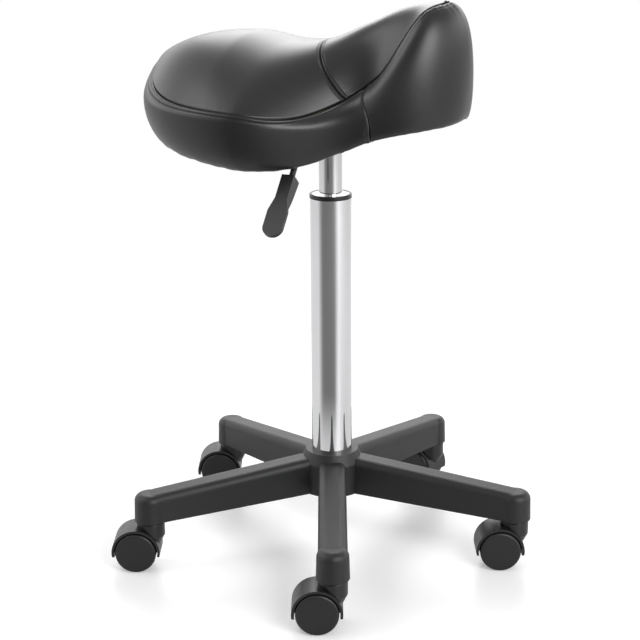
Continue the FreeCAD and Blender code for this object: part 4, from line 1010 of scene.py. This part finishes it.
def makeFoam():
    # one closed body a little inside the cover
    shrink = cover["thickness"] + foam["gap"]
    shares = np.concatenate([np.linspace(0, foam["endShare"], foam["endLines"])[:-1],
                             np.linspace(foam["endShare"], 1, foam["lines"])])
    lines = []
    for share in shares:
        line = bandLine(share, foam["samples"])
        lines.append(respaced(line, np.linspace(0, runLength(line)[-1], foam["columns"])))
    near = np.array(lines)
    mirror = near * np.array([-1, 1, 1])
    rings = np.concatenate([near, mirror[::-1][1:-1]])
    verts = rings.reshape(-1, 3).tolist()
    across = np.sin(np.linspace(-math.pi / 2, math.pi / 2, foam["across"]))
    topStarts = []
    for share in shares[1:-1]:
        topStarts.append(len(verts))
        verts.extend(topRow(share, across)[1:-1].tolist())
    faces = foamFaces(len(rings), len(shares), foam["columns"], foam["across"], topStarts)
    mesh = bpy.data.meshes.new("seatFoam")
    mesh.from_pydata(verts, [], faces)
    work = bmesh.new()
    work.from_mesh(mesh)
    bmesh.ops.remove_doubles(work, verts=work.verts, dist=foam["weld"])
    bmesh.ops.recalc_face_normals(work, faces=work.faces)
    for vert in work.verts:
        vert.normal_update()
    normals = [vert.normal.copy() for vert in work.verts]
    for vert, normal in zip(work.verts, normals):
        vert.co -= normal * shrink
    work.to_mesh(mesh)
    work.free()
    mesh.polygons.foreach_set("use_smooth", [True] * len(mesh.polygons))
    mesh.materials.append(seatFoamLook)
    piece = bpy.data.objects.new("seatFoam", mesh)
    scene.collection.objects.link(piece)
    return piece


foamPiece = makeFoam()
print("stage: foam")


# Stitches, laid by geometry nodes along lines on the cover

def makeStitchTree():
    tree = bpy.data.node_groups.new("threadStitches", "GeometryNodeTree")
    face = tree.interface
    face.new_socket("Geometry", in_out="INPUT", socket_type="NodeSocketGeometry")
    for label, kind in (("Pitch", "NodeSocketFloat"), ("Stitch Length", "NodeSocketFloat"),
                        ("Thread Radius", "NodeSocketFloat"), ("Finish", "NodeSocketMaterial")):
        face.new_socket(label, in_out="INPUT", socket_type=kind)
    face.new_socket("Geometry", in_out="OUTPUT", socket_type="NodeSocketGeometry")
    nodes, links = tree.nodes, tree.links
    entry, leave = nodes.new("NodeGroupInput"), nodes.new("NodeGroupOutput")
    toCurve = nodes.new("GeometryNodeMeshToCurve")
    links.new(entry.outputs["Geometry"], toCurve.inputs["Mesh"])
    spaced = nodes.new("GeometryNodeResampleCurve")
    spaced.mode = "LENGTH"
    links.new(toCurve.outputs["Curve"], spaced.inputs["Curve"])
    links.new(entry.outputs["Pitch"], spaced.inputs["Length"])
    bead = nodes.new("GeometryNodeMeshUVSphere")
    bead.inputs["Segments"].default_value = 6
    bead.inputs["Rings"].default_value = 5
    bead.inputs["Radius"].default_value = 1.0
    tangent = nodes.new("GeometryNodeInputTangent")
    turned = nodes.new("FunctionNodeAlignRotationToVector")
    turned.axis = "Z"
    links.new(tangent.outputs[0], turned.inputs["Vector"])
    size = nodes.new("ShaderNodeCombineXYZ")
    half = nodes.new("ShaderNodeMath")
    half.operation = "MULTIPLY"
    half.inputs[1].default_value = 0.5
    links.new(entry.outputs["Stitch Length"], half.inputs[0])
    links.new(entry.outputs["Thread Radius"], size.inputs["X"])
    links.new(entry.outputs["Thread Radius"], size.inputs["Y"])
    links.new(half.outputs[0], size.inputs["Z"])
    placed = nodes.new("GeometryNodeInstanceOnPoints")
    links.new(spaced.outputs["Curve"], placed.inputs["Points"])
    links.new(bead.outputs["Mesh"], placed.inputs["Instance"])
    links.new(turned.outputs["Rotation"], placed.inputs["Rotation"])
    links.new(size.outputs[0], placed.inputs["Scale"])
    real = nodes.new("GeometryNodeRealizeInstances")
    links.new(placed.outputs["Instances"], real.inputs["Geometry"])
    finish = nodes.new("GeometryNodeSetMaterial")
    links.new(real.outputs["Geometry"], finish.inputs["Geometry"])
    links.new(entry.outputs["Finish"], finish.inputs["Material"])
    links.new(finish.outputs["Geometry"], leave.inputs["Geometry"])
    return tree


stitchTree = makeStitchTree()


def setInput(modifier, label, value):
    for item in modifier.node_group.interface.items_tree:
        if item.item_type == "SOCKET" and item.in_out == "INPUT" and item.name == label:
            modifier[item.identifier] = value


def stitchPiece(name, line, values, material):
    mesh = bpy.data.meshes.new(name)
    points = line.tolist()
    mesh.from_pydata(points, [(i, i + 1) for i in range(len(points) - 1)], [])
    piece = bpy.data.objects.new(name, mesh)
    scene.collection.objects.link(piece)
    modifier = piece.modifiers.new("stitches", "NODES")
    modifier.node_group = stitchTree
    for label, value in values.items():
        setInput(modifier, label, value)
    setInput(modifier, "Finish", material)
    depsgraph = bpy.context.evaluated_depsgraph_get()
    made = bpy.data.meshes.new_from_object(piece.evaluated_get(depsgraph))
    piece.modifiers.clear()
    piece.data = made
    return piece


thread = {"Pitch": 0.0044, "Stitch Length": 0.0037, "Thread Radius": 0.00052}
stitchPieces = [
    stitchPiece("lobeStitches", stitchLines["lobeBand"], thread, threadBlack),
    stitchPiece("crossStitchesRear", stitchLines["lobePanel"], thread, threadBlack),
    stitchPiece("crossStitchesNose", stitchLines["hornPanel"], thread, threadBlack),
]
print("stage: stitches")

# What rides on what

for piece in list(coverPieces.values()) + stitchPieces + [foamPiece]:
    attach(piece, "seat")
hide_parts("seat_cover")
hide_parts("seat_foam")

print("stage: finish")
